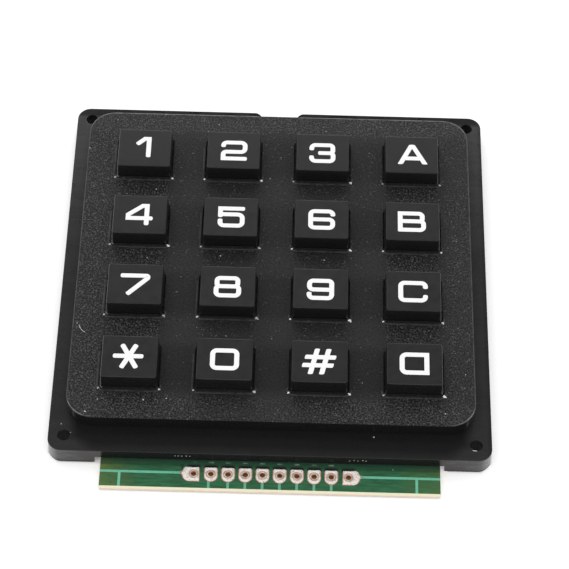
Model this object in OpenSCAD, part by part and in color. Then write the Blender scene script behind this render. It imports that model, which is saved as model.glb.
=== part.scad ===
// Sixteen-key matrix keypad for panel mounting, in millimetres, +Z up and +Y towards the 1-2-3-A row.
// The origin is the centre of the four mounting holes, on the underside of the flange.

/* [Flange] */
// Width of the flange, left to right
flange_w = 65.9; // [64.5:0.1:75]
// Depth of the flange, rear to front
flange_d = 65.2; // [64.4:0.1:70]
// Thickness of the flange
flange_t = 3.2; // [2.4:0.1:4]
// Radius of the flange's corners
flange_r = 2.1; // [1:0.1:2.4]
// Centre of the flange, measured from the centre of the mounting holes towards the rear
flange_y = -0.15; // [-0.6:0.05:0.2]
// Distance from the flange's left and right edges in to the mounting holes
hole_inset_x = 2.35; // [2.15:0.05:2.75]
// Mean distance from the flange's rear and front edges in to the mounting holes
hole_inset_y = 2.45; // [2.1:0.05:2.7]
// Radius of a mounting hole
hole_r = 0.95; // [0.7:0.05:1.1]
// Chamfer along the top edges of the flange and of the plateau
edge_break = 0.05; // [0.03:0.01:0.2]

/* [Plateau] */
// Width of the flange's bands on the left and right of the raised plateau
side_band = 2.45; // [2.2:0.05:3.5]
// Width of the flange's band behind the plateau
rear_band = 2.7; // [2.5:0.05:3.5]
// Width of the flange's band in front of the plateau
front_band = 4.4; // [3.9:0.05:5]
// Height of the plateau's top above the underside of the flange
plateau_z = 5.6; // [5.2:0.1:6.4]
// Radius of the plateau's corners
plateau_r = 4; // [3.6:0.1:6]
// Draft of the plateau's wall from its foot to its top
plateau_draft = 0.08; // [0.02:0.01:0.2]
// Thickness of the plateau's ceiling, which the keys stand through
ceiling_t = 1.5; // [1:0.1:1.8]
// Thickness of the ribs between the keys, under the ceiling
rib_t = 1.55; // [1.5:0.05:1.9]
// Radius of the corners of the pockets inside the housing
pocket_r = 1; // [0.5:0.1:1.5]
// Width of the rear notch in the flange, at its neck
rear_notch_w = 5.6; // [4:0.1:12]
// Depth of the rear notch, from the rear edge of the flange
rear_notch_d = 2.2; // [1.7:0.1:2.4]
// Radius that rounds the mouth of the rear notch
rear_notch_r = 1.4; // [0.3:0.1:1.6]

/* [Keys] */
// Distance between key centres, left to right
key_pitch_x = 14.2; // [13.6:0.05:14.4]
// Distance between key centres, rear to front
key_pitch_y = 13.25; // [12.6:0.05:13.4]
// Centre of the sixteen keys, measured from the centre of the mounting holes towards the rear
keys_y = 0.7; // [0.4:0.1:1]
// Width of a key at its top
key_w = 8.3; // [7:0.1:8.8]
// Depth of a key at its top
key_d = 7.3; // [6.6:0.1:7.9]
// Height of the key tops above the underside of the flange
key_top_z = 8.2; // [7.6:0.1:10]
// Radius of a key's corners at its top
key_r = 0.25; // [0.2:0.05:0.6]
// Draft of a key's sides, from its straight foot to its top
key_draft = 0.25; // [0.1:0.05:0.35]
// How far the straight foot of a key ends below the plateau's top
key_foot = 0.4; // [0.2:0.05:0.6]
// Chamfer along the top edges of a key
key_edge = 0.05; // [0.03:0.01:0.15]
// Clearance between a key and its window, on each side
key_gap = 0.15; // [0.1:0.05:0.25]
// Distance that a key travels when it is pressed
key_travel = 0.95; // [0.5:0.05:1]
// Thickness of a keycap's walls
key_wall = 0.85; // [0.7:0.05:1]
// Thickness of a keycap's top
key_crown = 1.1; // [0.8:0.1:1.5]
// Thickness of the lip that holds a key under the ceiling
lip_t = 0.6; // [0.5:0.05:0.7]
// How far the lip stands out past the key's side
lip_out = 0.75; // [0.5:0.05:0.9]
// Gap between the lip and the ceiling while the key is up
lip_gap = 0.1; // [0.05:0.05:0.2]
// Radius of the corners inside a keycap
key_inner_r = 0.3; // [0.2:0.05:0.5]
// Radius of the plunger inside a keycap
plunger_r = 1.3; // [1:0.1:1.5]
// How far the plunger ends above the lip's underside
plunger_recess = 0.25; // [0.1:0.05:0.4]
// Thickness of the two webs that brace the plunger
web_t = 0.6; // [0.4:0.05:0.8]

/* [Dome mat] */
// Thickness of the silicone sheet
mat_t = 0.6; // [0.4:0.05:0.7]
// Clearance between the sheet's edge and the housing
mat_gap = 0.25; // [0.15:0.05:0.4]
// Radius of a dome at its foot
dome_r = 2.7; // [2.6:0.05:2.85]
// Radius of a dome at its shoulder
dome_top_r = 2.05; // [1.95:0.05:2.2]
// Thickness of a dome's skirt
dome_wall = 0.35; // [0.25:0.05:0.4]
// Thickness of a dome's shoulder, over its pill
dome_crown = 0.25; // [0.2:0.05:0.3]
// Radius of a carbon contact pill
pill_r = 1.5; // [1.2:0.05:1.55]
// Thickness of a carbon contact pill
pill_t = 0.35; // [0.25:0.05:0.4]
// Gap between a pill and the skirt round it
pill_gap = 0.1; // [0.05:0.05:0.15]
// Gap that is left under a pill while its key is fully pressed
pill_rest_gap = 0.02; // [0.01:0.01:0.1]
// Width of the air channels under the sheet
vent_w = 0.8; // [0.4:0.1:1.2]
// Depth of the air channels under the sheet
vent_d = 0.2; // [0.1:0.05:0.25]

/* [Circuit board] */
// Thickness of the board
board_t = 1.2; // [0.8:0.1:1.4]
// How far the board's underside lies above the underside of the flange
board_z = 0.2; // [0.15:0.05:0.4]
// How far the board's sides lie inside the plateau's
board_inset_x = 2.1; // [1.9:0.05:2.3]
// How far the board's rear and front edges lie inside the plateau's
board_inset_y = 0.5; // [0.3:0.05:1.2]
// Clearance between the board's edge and its pocket
board_gap = 0.25; // [0.15:0.05:0.4]
// Width of the tab that carries the header
tab_w = 50.3; // [40:0.1:51]
// Centre of the tab, measured to the right of the centre of the mounting holes
tab_x = 0.15; // [-0.3:0.05:0.3]
// How far the tab stands out in front of the flange
tab_out = 4.75; // [4.4:0.05:12]
// Mean gap on each side of the tab in the front notch
tab_side_gap = 0.85; // [0.7:0.05:2]
// Gap over the tab where it leaves the housing
tab_gap = 0.05; // [0.02:0.01:0.15]
// Thickness of the copper on the board
copper_t = 0.035; // [0.018:0.001:0.07]

/* [Header] */
// Number of header holes
header_n = 10; // [8:1:12]
// Distance between header holes
header_pitch = 2.54; // [2:0.01:2.54]
// Centre of the header row, measured to the right of the centre of the mounting holes
header_x = 0.3; // [-0.3:0.05:0.4]
// Distance from the front edge of the tab back to the header row
header_setback = 2.35; // [1.9:0.05:2.6]
// Radius of a header hole
header_r = 0.42; // [0.38:0.01:0.6]
// Width of a header pad
pad_w = 2.1; // [1.7:0.05:2.15]
// Depth of a header pad, rear to front
pad_d = 2.6; // [2.2:0.05:3]
// Radius of the two corners of a pad that face the rear
pad_corner_r = 0.3; // [0.1:0.05:0.5]
// How far the round nose of an end pad reaches outwards from its hole
end_pad_reach = 1.8; // [1.6:0.05:2.4]
// How far an end pad reaches inwards from its hole to its square side
end_pad_inner = 0.9; // [0.75:0.05:1.05]
// How far the tip on an end pad's nose stands out along its track
end_pad_tip = 0.3; // [0.1:0.05:0.5]
// Width of a copper track
track_w = 0.4; // [0.2:0.05:0.5]
// Distance from the tab's left side in to the track that branches to the front edge
track_inset_left = 2.9; // [1.5:0.1:6]
// Distance from the tab's right side in to the track that branches to the front edge
track_inset_right = 3.5; // [1.5:0.1:6]
// How far the two tracks to the tab's sides run behind the centres of the header holes
track_lift = 0.15; // [0:0.05:0.3]
// How far the track of the second hole is set to its left
track_jog = 0.3; // [0:0.05:0.5]

/* [Stakes] */
// Radius of a moulded stake
stake_r = 0.7; // [0.5:0.05:0.75]
// Radius of a stake's flattened head
stake_head_r = 1.4; // [1.1:0.1:2]
// Clearance round a stake in the board
stake_gap = 0.1; // [0.05:0.05:0.2]
// Clearance round a stake in the silicone sheet
stake_mat_gap = 0.3; // [0.2:0.05:0.5]

/* [Contacts] */
// Radius of the round field of contacts under a dome
comb_r = 2.1; // [1.7:0.05:2.15]
// Width of a contact finger
finger_w = 0.3; // [0.2:0.05:0.35]
// Gap between two contact fingers
finger_gap = 0.25; // [0.2:0.05:0.3]

/* [Hidden] */
// Legend of each key as it is used in the nodes' names, by row from the rear
KEYS = ["1", "2", "3", "a", "4", "5", "6", "b", "7", "8", "9", "c", "star", "0", "hash", "d"];
KEYCAPS = [for (k = KEYS) str("keycap_", k)];
PILLS = [for (k = KEYS) str("carbon_pill_", k)];
BASE_NODES = ["housing", "dome_mat", "circuit_board", "contact_combs", "header_pads", "board_tracks"];

// Facets on round forms
fine = 64;
// A cut runs this far past the faces that it opens
past = 1;
rows = 4;
columns = 4;

// Outlines, one inside the other
flange_front = flange_y - flange_d / 2;
flange_rear = flange_y + flange_d / 2;
hole_pitch_x = flange_w - 2 * hole_inset_x;
hole_pitch_y = flange_d - 2 * hole_inset_y;
plateau_w = flange_w - 2 * side_band;
plateau_d = flange_d - rear_band - front_band;
plateau_y = flange_y + (front_band - rear_band) / 2;
board_w = plateau_w - 2 * board_inset_x;
board_d = plateau_d - 2 * board_inset_y;
board_y = plateau_y;
board_front = board_y - board_d / 2;
tab_reach = tab_out - flange_front;

// Heights, from the underside up
board_top = board_z + board_t;
mat_top = board_top + mat_t;
ceiling_z = plateau_z - ceiling_t;
lip_top = ceiling_z - lip_gap;
lip_z = lip_top - lip_t;
pill_z = board_top + copper_t + pill_rest_gap + key_travel;
pill_top = pill_z + pill_t;
dome_top = pill_top + dome_crown;
boss_top = lip_z + plunger_recess;
key_bend_z = plateau_z - key_foot;

// Key outlines, by the centres of their corner rounds
key_cx = key_w / 2 - key_r;
key_cy = key_d / 2 - key_r;
key_foot_r = key_r + key_draft;
window_r = key_foot_r + key_gap;
pocket_w = key_pitch_x - rib_t;
pocket_d = key_pitch_y - rib_t;

// Fields inside the housing
mat_field_w = (columns - 1) * key_pitch_x + pocket_w;
mat_field_d = (rows - 1) * key_pitch_y + pocket_d;
header_y = header_setback - tab_reach;
finger_pitch = finger_w + finger_gap;
// Fingers of the two combs together
finger_n = 6;

// Centre of key i, counted by row from the rear left
function key_at(i) = [
    (i % columns - (columns - 1) / 2) * key_pitch_x,
    keys_y + ((rows - 1) / 2 - floor(i / columns)) * key_pitch_y
];

// Centres of the stakes, where the ribs between the keys cross
stakes = [for (i = [-1:1]) for (j = [-1:1]) [i * key_pitch_x, keys_y + j * key_pitch_y]];

// Centre of header hole i, counted from the left
function header_at(i) = [header_x + (i - (header_n - 1) / 2) * header_pitch, header_y];

// A rectangle with round corners
module rounded_rect(w, d, r) {
    square([w - 2 * r, d], center = true);
    square([w, d - 2 * r], center = true);
    for (sx = [-1, 1], sy = [-1, 1])
        translate([sx * (w / 2 - r), sy * (d / 2 - r)]) circle(r, $fn = fine);
}

// A block whose corner rounds are centred at x = +-cx and y = +-cy. Its profile lists the corner
// radius at each height from the bottom up, so that sides and corners draft together.
module profiled_block(cx, cy, profile) {
    last = len(profile) - 1;
    corner = concat([[0, profile[0][1]]], profile, [[0, profile[last][1]]]);
    for (sx = [-1, 1], sy = [-1, 1])
        translate([sx * cx, sy * cy, 0]) rotate_extrude($fn = fine) polygon(corner);
    rotate([90, 0, 0]) linear_extrude(2 * cy, center = true) section(cx, profile);
    rotate([90, 0, 90]) linear_extrude(2 * cx, center = true) section(cy, profile);
}

// Cross-section of a profiled block
module section(c, profile) {
    right = [for (p = profile) [c + p[0], p[1]]];
    left = [for (i = [len(profile) - 1:-1:0]) [-c - profile[i][0], profile[i][1]]];
    polygon(concat(right, left));
}

module at_keys() {
    for (i = [0:rows * columns - 1]) translate(key_at(i)) children();
}

module at_stakes() {
    for (p = stakes) translate(p) children();
}

module at_headers() {
    for (i = [0:header_n - 1]) translate(header_at(i)) children();
}

// One moulding: a flange with the plateau on it, open below, with ribs between the keys
module housing() {
    color("#2b2b2c") {
        difference() {
            union() {
                flange_body();
                plateau_body();
            }
            board_pocket();
            mat_pocket();
            key_pockets();
            key_windows();
            mounting_holes();
            rear_notch();
            front_notch();
        }
        heat_stakes();
    }
}

module flange_body() {
    translate([0, flange_y, 0])
        profiled_block(flange_w / 2 - flange_r, flange_d / 2 - flange_r, [
            [flange_r, 0],
            [flange_r, flange_t - edge_break],
            [flange_r - edge_break, flange_t]
        ]);
}

module plateau_body() {
    foot = flange_t - past;
    translate([0, plateau_y, 0])
        profiled_block(plateau_w / 2 - plateau_r, plateau_d / 2 - plateau_r, [
            [plateau_r + plateau_draft, foot],
            [plateau_r, plateau_z - edge_break],
            [plateau_r - edge_break, plateau_z]
        ]);
}

// The board lies in this pocket, against the ledge round the mat's field
module board_pocket() {
    translate([0, board_y, -past]) linear_extrude(board_top + past)
        rounded_rect(board_w + 2 * board_gap, board_d + 2 * board_gap, pocket_r);
}

module mat_pocket() {
    translate([0, keys_y, 0]) linear_extrude(mat_top)
        rounded_rect(mat_field_w, mat_field_d, pocket_r);
}

module key_pockets() {
    at_keys() translate([0, 0, board_top]) linear_extrude(ceiling_z - board_top)
        rounded_rect(pocket_w, pocket_d, pocket_r);
}

// Each window follows its key's foot with a clearance
module key_windows() {
    at_keys() profiled_block(key_cx, key_cy, [
        [window_r, ceiling_z - past],
        [window_r, plateau_z + past]
    ]);
}

module mounting_holes() {
    for (sx = [-1, 1], sy = [-1, 1])
        translate([sx * hole_pitch_x / 2, sy * hole_pitch_y / 2, -past])
            cylinder(h = flange_t + 2 * past, r = hole_r, $fn = fine);
}

// A straight neck whose mouth flares by two rounds
module rear_notch() {
    mouth_y = flange_rear - rear_notch_r;
    neck = rear_notch_w / 2;
    translate([0, 0, -past]) linear_extrude(flange_t + 2 * past) difference() {
        union() {
            translate([-neck, flange_rear - rear_notch_d])
                square([rear_notch_w, rear_notch_d + past]);
            translate([-neck - rear_notch_r, mouth_y])
                square([rear_notch_w + 2 * rear_notch_r, rear_notch_r + past]);
        }
        for (sx = [-1, 1])
            translate([sx * (neck + rear_notch_r), mouth_y]) circle(rear_notch_r, $fn = fine);
    }
}

module front_notch() {
    notch_w = tab_w + 2 * tab_side_gap;
    notch_d = board_front - flange_front + past;
    translate([-notch_w / 2, flange_front - past, -past])
        cube([notch_w, notch_d, board_top + tab_gap + past]);
}

// Stakes stand down from the rib crossings, pass the mat and the board, and end in flat heads
module heat_stakes() {
    at_stakes() {
        cylinder(h = mat_top + past, r = stake_r, $fn = fine);
        cylinder(h = board_z, r = stake_head_r, $fn = fine);
    }
}

// A hollow keycap with a retaining lip, and a braced plunger that bears on its dome
module keycap(i) {
    inner_cx = key_cx - key_wall + key_r;
    inner_cy = key_cy - key_wall + key_r;
    inner_top = key_top_z - key_crown;
    color("#2f2f31") translate(key_at(i)) {
        difference() {
            union() {
                profiled_block(key_cx, key_cy, [
                    [key_foot_r, lip_z],
                    [key_foot_r, key_bend_z],
                    [key_r, key_top_z - key_edge],
                    [key_r - key_edge, key_top_z]
                ]);
                translate([0, 0, lip_z]) linear_extrude(lip_t) rounded_rect(
                    2 * (key_cx + key_foot_r + lip_out),
                    2 * (key_cy + key_foot_r + lip_out),
                    key_foot_r
                );
            }
            translate([0, 0, lip_z - past]) linear_extrude(inner_top - lip_z + past)
                rounded_rect(2 * inner_cx, 2 * inner_cy, key_inner_r);
        }
        translate([0, 0, boss_top])
            cylinder(h = inner_top - boss_top + past / 2, r = plunger_r, $fn = fine);
        translate([0, 0, key_bend_z]) linear_extrude(inner_top - key_bend_z + past / 2) {
            square([2 * inner_cx + key_wall, web_t], center = true);
            square([web_t, 2 * inner_cy + key_wall], center = true);
        }
    }
}

// One silicone sheet with a dome for each key, holes for the stakes and air channels below
module dome_mat() {
    mat_w = mat_field_w - 2 * mat_gap;
    mat_d = mat_field_d - 2 * mat_gap;
    color("#c9c9c4") difference() {
        union() {
            translate([0, keys_y, board_top]) linear_extrude(mat_t)
                rounded_rect(mat_w, mat_d, pocket_r);
            at_keys() rotate_extrude($fn = fine) polygon([
                [0, board_top],
                [dome_r, board_top],
                [dome_r, mat_top],
                [dome_top_r, dome_top],
                [plunger_r, dome_top],
                [plunger_r, boss_top],
                [0, boss_top]
            ]);
        }
        at_keys() rotate_extrude($fn = fine) polygon([
            [0, board_top - past],
            [dome_r - dome_wall, board_top - past],
            [dome_r - dome_wall, mat_top - dome_wall / 2],
            [pill_r + pill_gap, pill_top],
            [0, pill_top]
        ]);
        at_stakes() translate([0, 0, board_top - past])
            cylinder(h = mat_t + 2 * past, r = stake_r + stake_mat_gap, $fn = fine);
        for (i = [0:rows - 1])
            translate([-mat_w / 2 - past, key_at(i * columns)[1] - vent_w / 2, board_top - past])
                cube([mat_w + 2 * past, vent_w, vent_d + past]);
    }
}

// A conductive pill under its dome, which bridges the two contact combs
module carbon_pill(i) {
    color("#151515") translate(key_at(i)) translate([0, 0, pill_z])
        cylinder(h = pill_t, r = pill_r, $fn = fine);
}

// The board fills its pocket, and its tab leaves through the front notch
module circuit_board() {
    tab_d = tab_reach + board_front + past;
    color("#1d5a3c") translate([0, 0, board_z]) linear_extrude(board_t) difference() {
        union() {
            translate([0, board_y]) rounded_rect(board_w, board_d, pocket_r);
            translate([tab_x - tab_w / 2, -tab_reach]) square([tab_w, tab_d]);
        }
        at_stakes() circle(stake_r + stake_gap, $fn = fine);
        at_headers() circle(header_r, $fn = fine);
    }
}

// Two combs of copper fingers under each dome, one of them turned half round
module contact_combs() {
    color("#b98a4a") at_keys() translate([0, 0, board_top]) linear_extrude(copper_t) {
        contact_comb();
        rotate(180) contact_comb();
    }
}

// Every other finger, joined by a spine along the rim of the round field
module contact_comb() {
    spine_x = comb_r - 2 * finger_w;
    finger_end = finger_w / 2 + finger_gap - spine_x;
    reach = (finger_n - 1) / 2 * finger_pitch;
    intersection() {
        circle(comb_r, $fn = fine);
        union() {
            translate([spine_x - finger_w / 2, -reach]) square([comb_r, 2 * reach + finger_w / 2]);
            for (k = [0:2:finger_n - 1])
                translate([finger_end, reach - k * finger_pitch - finger_w / 2])
                    square([spine_x - finger_end, finger_w]);
        }
    }
}

// Tinned pads on both faces of the board round the header holes
module header_pads() {
    color("#c8c2b8") for (z = [board_top, board_z - copper_t])
        translate([0, 0, z]) linear_extrude(copper_t) difference() {
            pad_outlines();
            at_headers() circle(header_r, $fn = fine);
        }
}

module pad_outlines() {
    last = header_n - 1;
    for (i = [1:last - 1]) translate(header_at(i)) bullet_pad();
    translate(header_at(0)) mirror([1, 0]) end_pad();
    translate(header_at(last)) end_pad();
}

// Square towards the rear, with its two corners rounded, and round towards the front
module bullet_pad() {
    r = pad_w / 2;
    disc_y = r - pad_d / 2;
    corner_x = r - pad_corner_r;
    translate([0, disc_y]) circle(r, $fn = fine);
    translate([-r, disc_y]) square([pad_w, pad_d - r - pad_corner_r]);
    translate([-corner_x, disc_y]) square([2 * corner_x, pad_d - r]);
    for (sx = [-1, 1])
        translate([sx * corner_x, pad_d / 2 - pad_corner_r]) circle(pad_corner_r, $fn = fine);
}

// Square towards its neighbours, with a round nose outwards and a tip where its track starts
module end_pad() {
    half = pad_d / 2;
    nose_x = end_pad_reach - half;
    tip_x = end_pad_reach + end_pad_tip;
    translate([nose_x, 0]) circle(half, $fn = fine);
    translate([-end_pad_inner, -half]) square([end_pad_inner + nose_x, pad_d]);
    polygon([
        [nose_x, track_lift - track_w],
        [tip_x - track_w, track_lift - track_w],
        [tip_x, track_lift - track_w / 2],
        [tip_x, track_lift + track_w / 2],
        [tip_x - track_w, track_lift + track_w],
        [nose_x, track_lift + track_w]
    ]);
}

// Copper tracks on the tab: one from each inner pad to the front edge, and one from each end pad
// to the tab's side, with a branch to the front edge. Each ends against its pad.
module board_tracks() {
    last = header_n - 1;
    color("#4fa882") translate([0, 0, board_top]) linear_extrude(copper_t) difference() {
        union() {
            for (i = [1:last - 1]) front_track(header_at(i)[0] - (i == 1 ? track_jog : 0));
            end_track(header_at(0)[0], -1, track_inset_left);
            end_track(header_at(last)[0], 1, track_inset_right);
        }
        pad_outlines();
    }
}

// A track from the header row to the front edge
module front_track(x) {
    translate([x - track_w / 2, -tab_reach]) square([track_w, header_setback]);
}

// A track from the end pad at pad_x to the tab's side, left of it or right of it, and its branch
module end_track(pad_x, side, inset) {
    side_x = tab_x + side * tab_w / 2;
    branch_x = side_x - side * inset;
    translate([min(pad_x, side_x), header_y + track_lift - track_w / 2])
        square([abs(side_x - pad_x), track_w]);
    front_track(branch_x);
    translate([branch_x - track_w / 2, header_y - track_w / 2]) square([track_w, track_lift + track_w / 2]);
}

housing();
dome_mat();
circuit_board();
contact_combs();
header_pads();
board_tracks();
for (i = [0:len(KEYS) - 1]) {
    keycap(i);
    carbon_pill(i);
}
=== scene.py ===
"""Finish of a matrix keypad: moulded plastics, printed legends, board, solder, dust and the studio."""

import math

import bmesh
import bpy
import numpy as np
from bpy.props import FloatProperty, FloatVectorProperty, IntProperty, PointerProperty
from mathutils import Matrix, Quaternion, Vector


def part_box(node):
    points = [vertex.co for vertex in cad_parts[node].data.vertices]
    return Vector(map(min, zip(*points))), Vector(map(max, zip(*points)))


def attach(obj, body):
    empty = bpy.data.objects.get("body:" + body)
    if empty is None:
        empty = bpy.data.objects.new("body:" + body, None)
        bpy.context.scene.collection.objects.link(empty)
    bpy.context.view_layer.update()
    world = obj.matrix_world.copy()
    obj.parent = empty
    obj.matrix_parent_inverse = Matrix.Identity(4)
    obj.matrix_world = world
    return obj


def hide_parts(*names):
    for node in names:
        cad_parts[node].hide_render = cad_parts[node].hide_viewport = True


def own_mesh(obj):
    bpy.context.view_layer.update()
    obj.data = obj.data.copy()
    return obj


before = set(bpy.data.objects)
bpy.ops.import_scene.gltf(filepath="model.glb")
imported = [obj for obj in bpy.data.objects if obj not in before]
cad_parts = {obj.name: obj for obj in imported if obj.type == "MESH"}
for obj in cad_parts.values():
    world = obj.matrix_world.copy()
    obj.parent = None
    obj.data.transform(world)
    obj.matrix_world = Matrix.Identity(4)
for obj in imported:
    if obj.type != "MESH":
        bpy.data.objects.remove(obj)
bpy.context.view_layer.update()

bl_info = {
    "name": "Matrix keypad finish",
    "version": (1, 0, 0),
    "blender": (4, 5, 0),
    "location": "3D View > Sidebar > Keypad",
    "description": "Moulded plastics, printed legends, board, solder, dust and studio of a matrix keypad",
    "category": "Object",
}

MM = 0.001
SAME_POINT = 1e-5 * MM
# Steps of a full turn: pads, holes and domes, and thin fibres
PAD_STEPS, ROUND_STEPS, THIN_STEPS = 96, 48, 6
FLANGE_CORNER = 2.1 * MM
KEYS = [name.removeprefix("keycap_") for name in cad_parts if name.startswith("keycap_")]
PLATEAU_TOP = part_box("housing")[1].z
COPPER_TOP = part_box("board_tracks")[1].z
BOARD_LOW, BOARD_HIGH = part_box("circuit_board")
KEY_LOW, KEY_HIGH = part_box("keycap_1")
KEY_TOP = KEY_HIGH.z
KEY_MIDDLE = (KEY_LOW + KEY_HIGH) / 2
KEY_PITCH = Vector((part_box("keycap_2")[0].x - KEY_LOW.x, KEY_LOW.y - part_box("keycap_4")[0].y, 0))


# Settings that a user would change

def length(name, text, millimetres):
    """A length property with its default in millimetres."""
    return FloatProperty(name=name, description=text, default=millimetres * MM, precision=5,
                         unit="LENGTH", subtype="DISTANCE")


def share(name, text, value):
    """A property without a unit from 0 to 1."""
    return FloatProperty(name=name, description=text, default=value, min=0, max=1, subtype="FACTOR")


def colour(name, text, value):
    """A linear colour property."""
    return FloatVectorProperty(name=name, description=text, default=value, size=3, min=0, max=1,
                               subtype="COLOR")


def place(name, text, millimetres):
    """A point in the keypad's frame with its default in millimetres."""
    return FloatVectorProperty(name=name, description=text, default=[x * MM for x in millimetres],
                               size=3, precision=5, unit="LENGTH", subtype="TRANSLATION")


class StageSettings(bpy.types.PropertyGroup):
    """Camera, lamps and floor."""
    camera_at: place("Camera", "Where the camera stands", (1.453, -201.225, 287.142))
    camera_aim: place("Aim", "The point that the camera looks at", (1.547, -2.413, 4.0))
    camera_roll: FloatProperty(name="Roll", description="Turn of the camera about its own axis",
                               default=math.radians(1.528), unit="ROTATION", subtype="ANGLE")
    lens: FloatProperty(name="Lens", description="Focal length for a 36 mm sensor",
                        default=141.18, unit="CAMERA")
    rear_power: FloatProperty(name="Rear softbox", description="Power of the softbox behind the keypad",
                              default=0.5, unit="POWER")
    front_power: FloatProperty(name="Front softbox", description="Power of the softbox above the camera",
                               default=0.5, unit="POWER")
    room_level: share("Room", "Brightness of the room's even light", 0.95)
    ceiling_level: share("Ceiling", "Brightness of the ceiling as glossy surfaces mirror it", 0.15)
    floor_lift: share("Floor lift", "Brightness that the camera sees on top of the lit floor", 0.3)


class LegendSettings(bpy.types.PropertyGroup):
    """Printed legends."""
    stroke: length("Stroke", "Width of a printed stroke", 0.75)
    film: length("Film", "Thickness of the ink on a key", 0.02)
    end_round: length("End round", "Length over which a stroke's end is rounded", 0.28)
    cut_round: length("Cut round", "Length over which a cut end is rounded", 0.16)


class HeaderSettings(bpy.types.PropertyGroup):
    """Tinned pads and lined holes on the board's tab."""
    count: IntProperty(name="Holes", description="Number of header holes", default=10, min=3)
    pitch: length("Pitch", "Distance between header holes", 2.54)
    hole: length("Hole", "Radius of a header hole", 0.42)
    ring: length("Ring", "Radius of the raised ring round a hole", 0.68)
    border: length("Border", "Width of the bare copper border round the tin", 0.09)
    tin: length("Tin", "Height of the tin at its crown", 0.18)
    lining: length("Lining", "Thickness of the copper that lines a hole", 0.1)


class MatSettings(bpy.types.PropertyGroup):
    """Silicone sheet and domes under the keys."""
    sheet: length("Sheet", "Thickness of the sheet", 0.6)
    foot: length("Foot", "Radius of a dome at its foot", 2.7)
    shoulder: length("Shoulder", "Radius of a dome at its shoulder", 2.05)
    boss: length("Boss", "Radius of the boss that a key's plunger bears on", 1.3)
    wall: length("Wall", "Thickness of a dome's skirt", 0.35)
    crown: length("Crown", "Thickness of a dome over its pill", 0.25)
    gap: length("Gap", "Clearance round a pill", 0.1)
    skim: length("Skim", "Height over the sheet at which it is parted from its domes", 0.01)


class RimSettings(bpy.types.PropertyGroup):
    """Moulded edges of the windows and of the plateau."""
    inset: length("Inset", "How far a window lies inside the lip of its key", 0.6)
    taper: length("Taper", "How far the edge of a key's top lies inside its lip", 1.0)
    corner: length("Corner", "Radius of a window's corners", 0.65)
    offset: length("Offset", "Distance from a window's front out to the middle of its rim", 0.37)
    aside: length("Aside", "Distance from a window's side out to the middle of its rim", 0.22)
    width: length("Width", "Width of a window's rim", 0.26)
    height: length("Height", "Height of a window's rim", 0.015)
    left_end: length("Left end", "Distance from a key's rear to the end of the rim at its left", 2.2)
    right_end: length("Right end", "Length of the rim at a key's right", 1.2)
    nib: length("Nib", "Mean radius of the pale nib at a window's front corners", 0.15)
    plateau_low: place("Plateau front left", "Front left end of the plateau's outline", (-30.5, -28.35, 0))
    plateau_high: place("Plateau rear right", "Rear right end of the plateau's outline", (30.5, 29.75, 0))
    plateau: length("Plateau corner", "Radius of the plateau's corners", 4.0)
    # The bead along the plateau's edge carries a painted highlight
    bead: length("Bead", "Width of the worn bead along the plateau's edge", 0.16)


class DustSettings(bpy.types.PropertyGroup):
    """Dust on the housing."""
    count: IntProperty(name="Specks", description="Number of scattered specks", default=60, min=0)
    size: length("Size", "Mean radius of a scattered speck", 0.035)
    fibre: length("Fibre", "Thickness of a fibre", 0.085)
    seed: IntProperty(name="Seed", description="Seed of the scatter", default=7)


class ColourSettings(bpy.types.PropertyGroup):
    """Colours of the materials."""
    housing: colour("Housing", "Grained top of the plateau", (0.0117, 0.0117, 0.0119))
    flange: colour("Flange", "Smooth skin of the flange", (0.0192, 0.0186, 0.0189))
    # The wall colour is also painted shade: on the band before the plateau's front wall, in the notch and
    # along the flange's foot
    wall: colour("Wall", "Skin of the plateau's front wall and the band before it", (0.0058, 0.0056, 0.0057))
    # The flange side colours are painted reflection: dark where the side mirrors the board, pale where it
    # mirrors the white floor
    side: colour("Flange side", "Skin of the flange's front side next to the notch", (0.007, 0.002, 0.004))
    side_end: colour("Flange side ends", "Skin of the flange's front side at its ends", (0.058, 0.056, 0.057))
    # Painted light on the outer sides of the outer keys
    painted_light_sides: colour("Rubbed sides", "Outer sides of the outer keys", (0.105, 0.105, 0.105))
    # The windows' colour is painted light in the gaps round the keys
    well: colour("Windows", "Rubbed walls of the windows", (0.12, 0.12, 0.12))
    # The feet's colour is painted light in the gaps round the keys
    foot: colour("Feet", "Rubbed feet of the keys", (0.035, 0.035, 0.035))
    # The rims' colour is a painted highlight on the edges of the housing
    rim: colour("Rims", "Polished edges of the housing", (0.036, 0.036, 0.036))
    key: colour("Keys", "Black moulding of the keys", (0.0055, 0.0055, 0.0058))
    legend: colour("Legends", "White ink", (0.88, 0.88, 0.88))
    mask: colour("Solder mask", "Green of the board", (0.02, 0.115, 0.047))
    mask_end: colour("Solder mask ends", "Olive of the board near its ends", (0.125, 0.165, 0.03))
    laminate: colour("Laminate", "Cut edge of the board", (0.95, 0.9, 0.66))
    laminate_low: colour("Laminate below", "Lower part of the board's cut edge", (0.88, 0.68, 0.56))
    track: colour("Tracks", "Copper under the solder mask", (0.135, 0.455, 0.305))
    tin: colour("Tin", "Dull tin on the pads", (0.83, 0.745, 0.66))
    border: colour("Pad borders", "Bare copper round the tin", (0.55, 0.24, 0.17))
    pit: colour("Pits", "Stained pits of the tin", (0.36, 0.24, 0.2))
    lining: colour("Lining", "Stained copper inside the header holes", (0.5, 0.19, 0.05))
    comb: colour("Contacts", "Bare copper contact fingers", (0.62, 0.36, 0.17))
    silicone: colour("Silicone", "Translucent dome mat", (0.62, 0.62, 0.58))
    carbon: colour("Carbon", "Conductive pills", (0.012, 0.012, 0.012))
    dust: colour("Dust", "Dust and fibres", (0.62, 0.6, 0.56))
    # The nibs' colour is a painted glint at the windows' corners
    nib: colour("Nibs", "Bright nibs at the windows' corners", (0.8, 0.8, 0.8))


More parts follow.
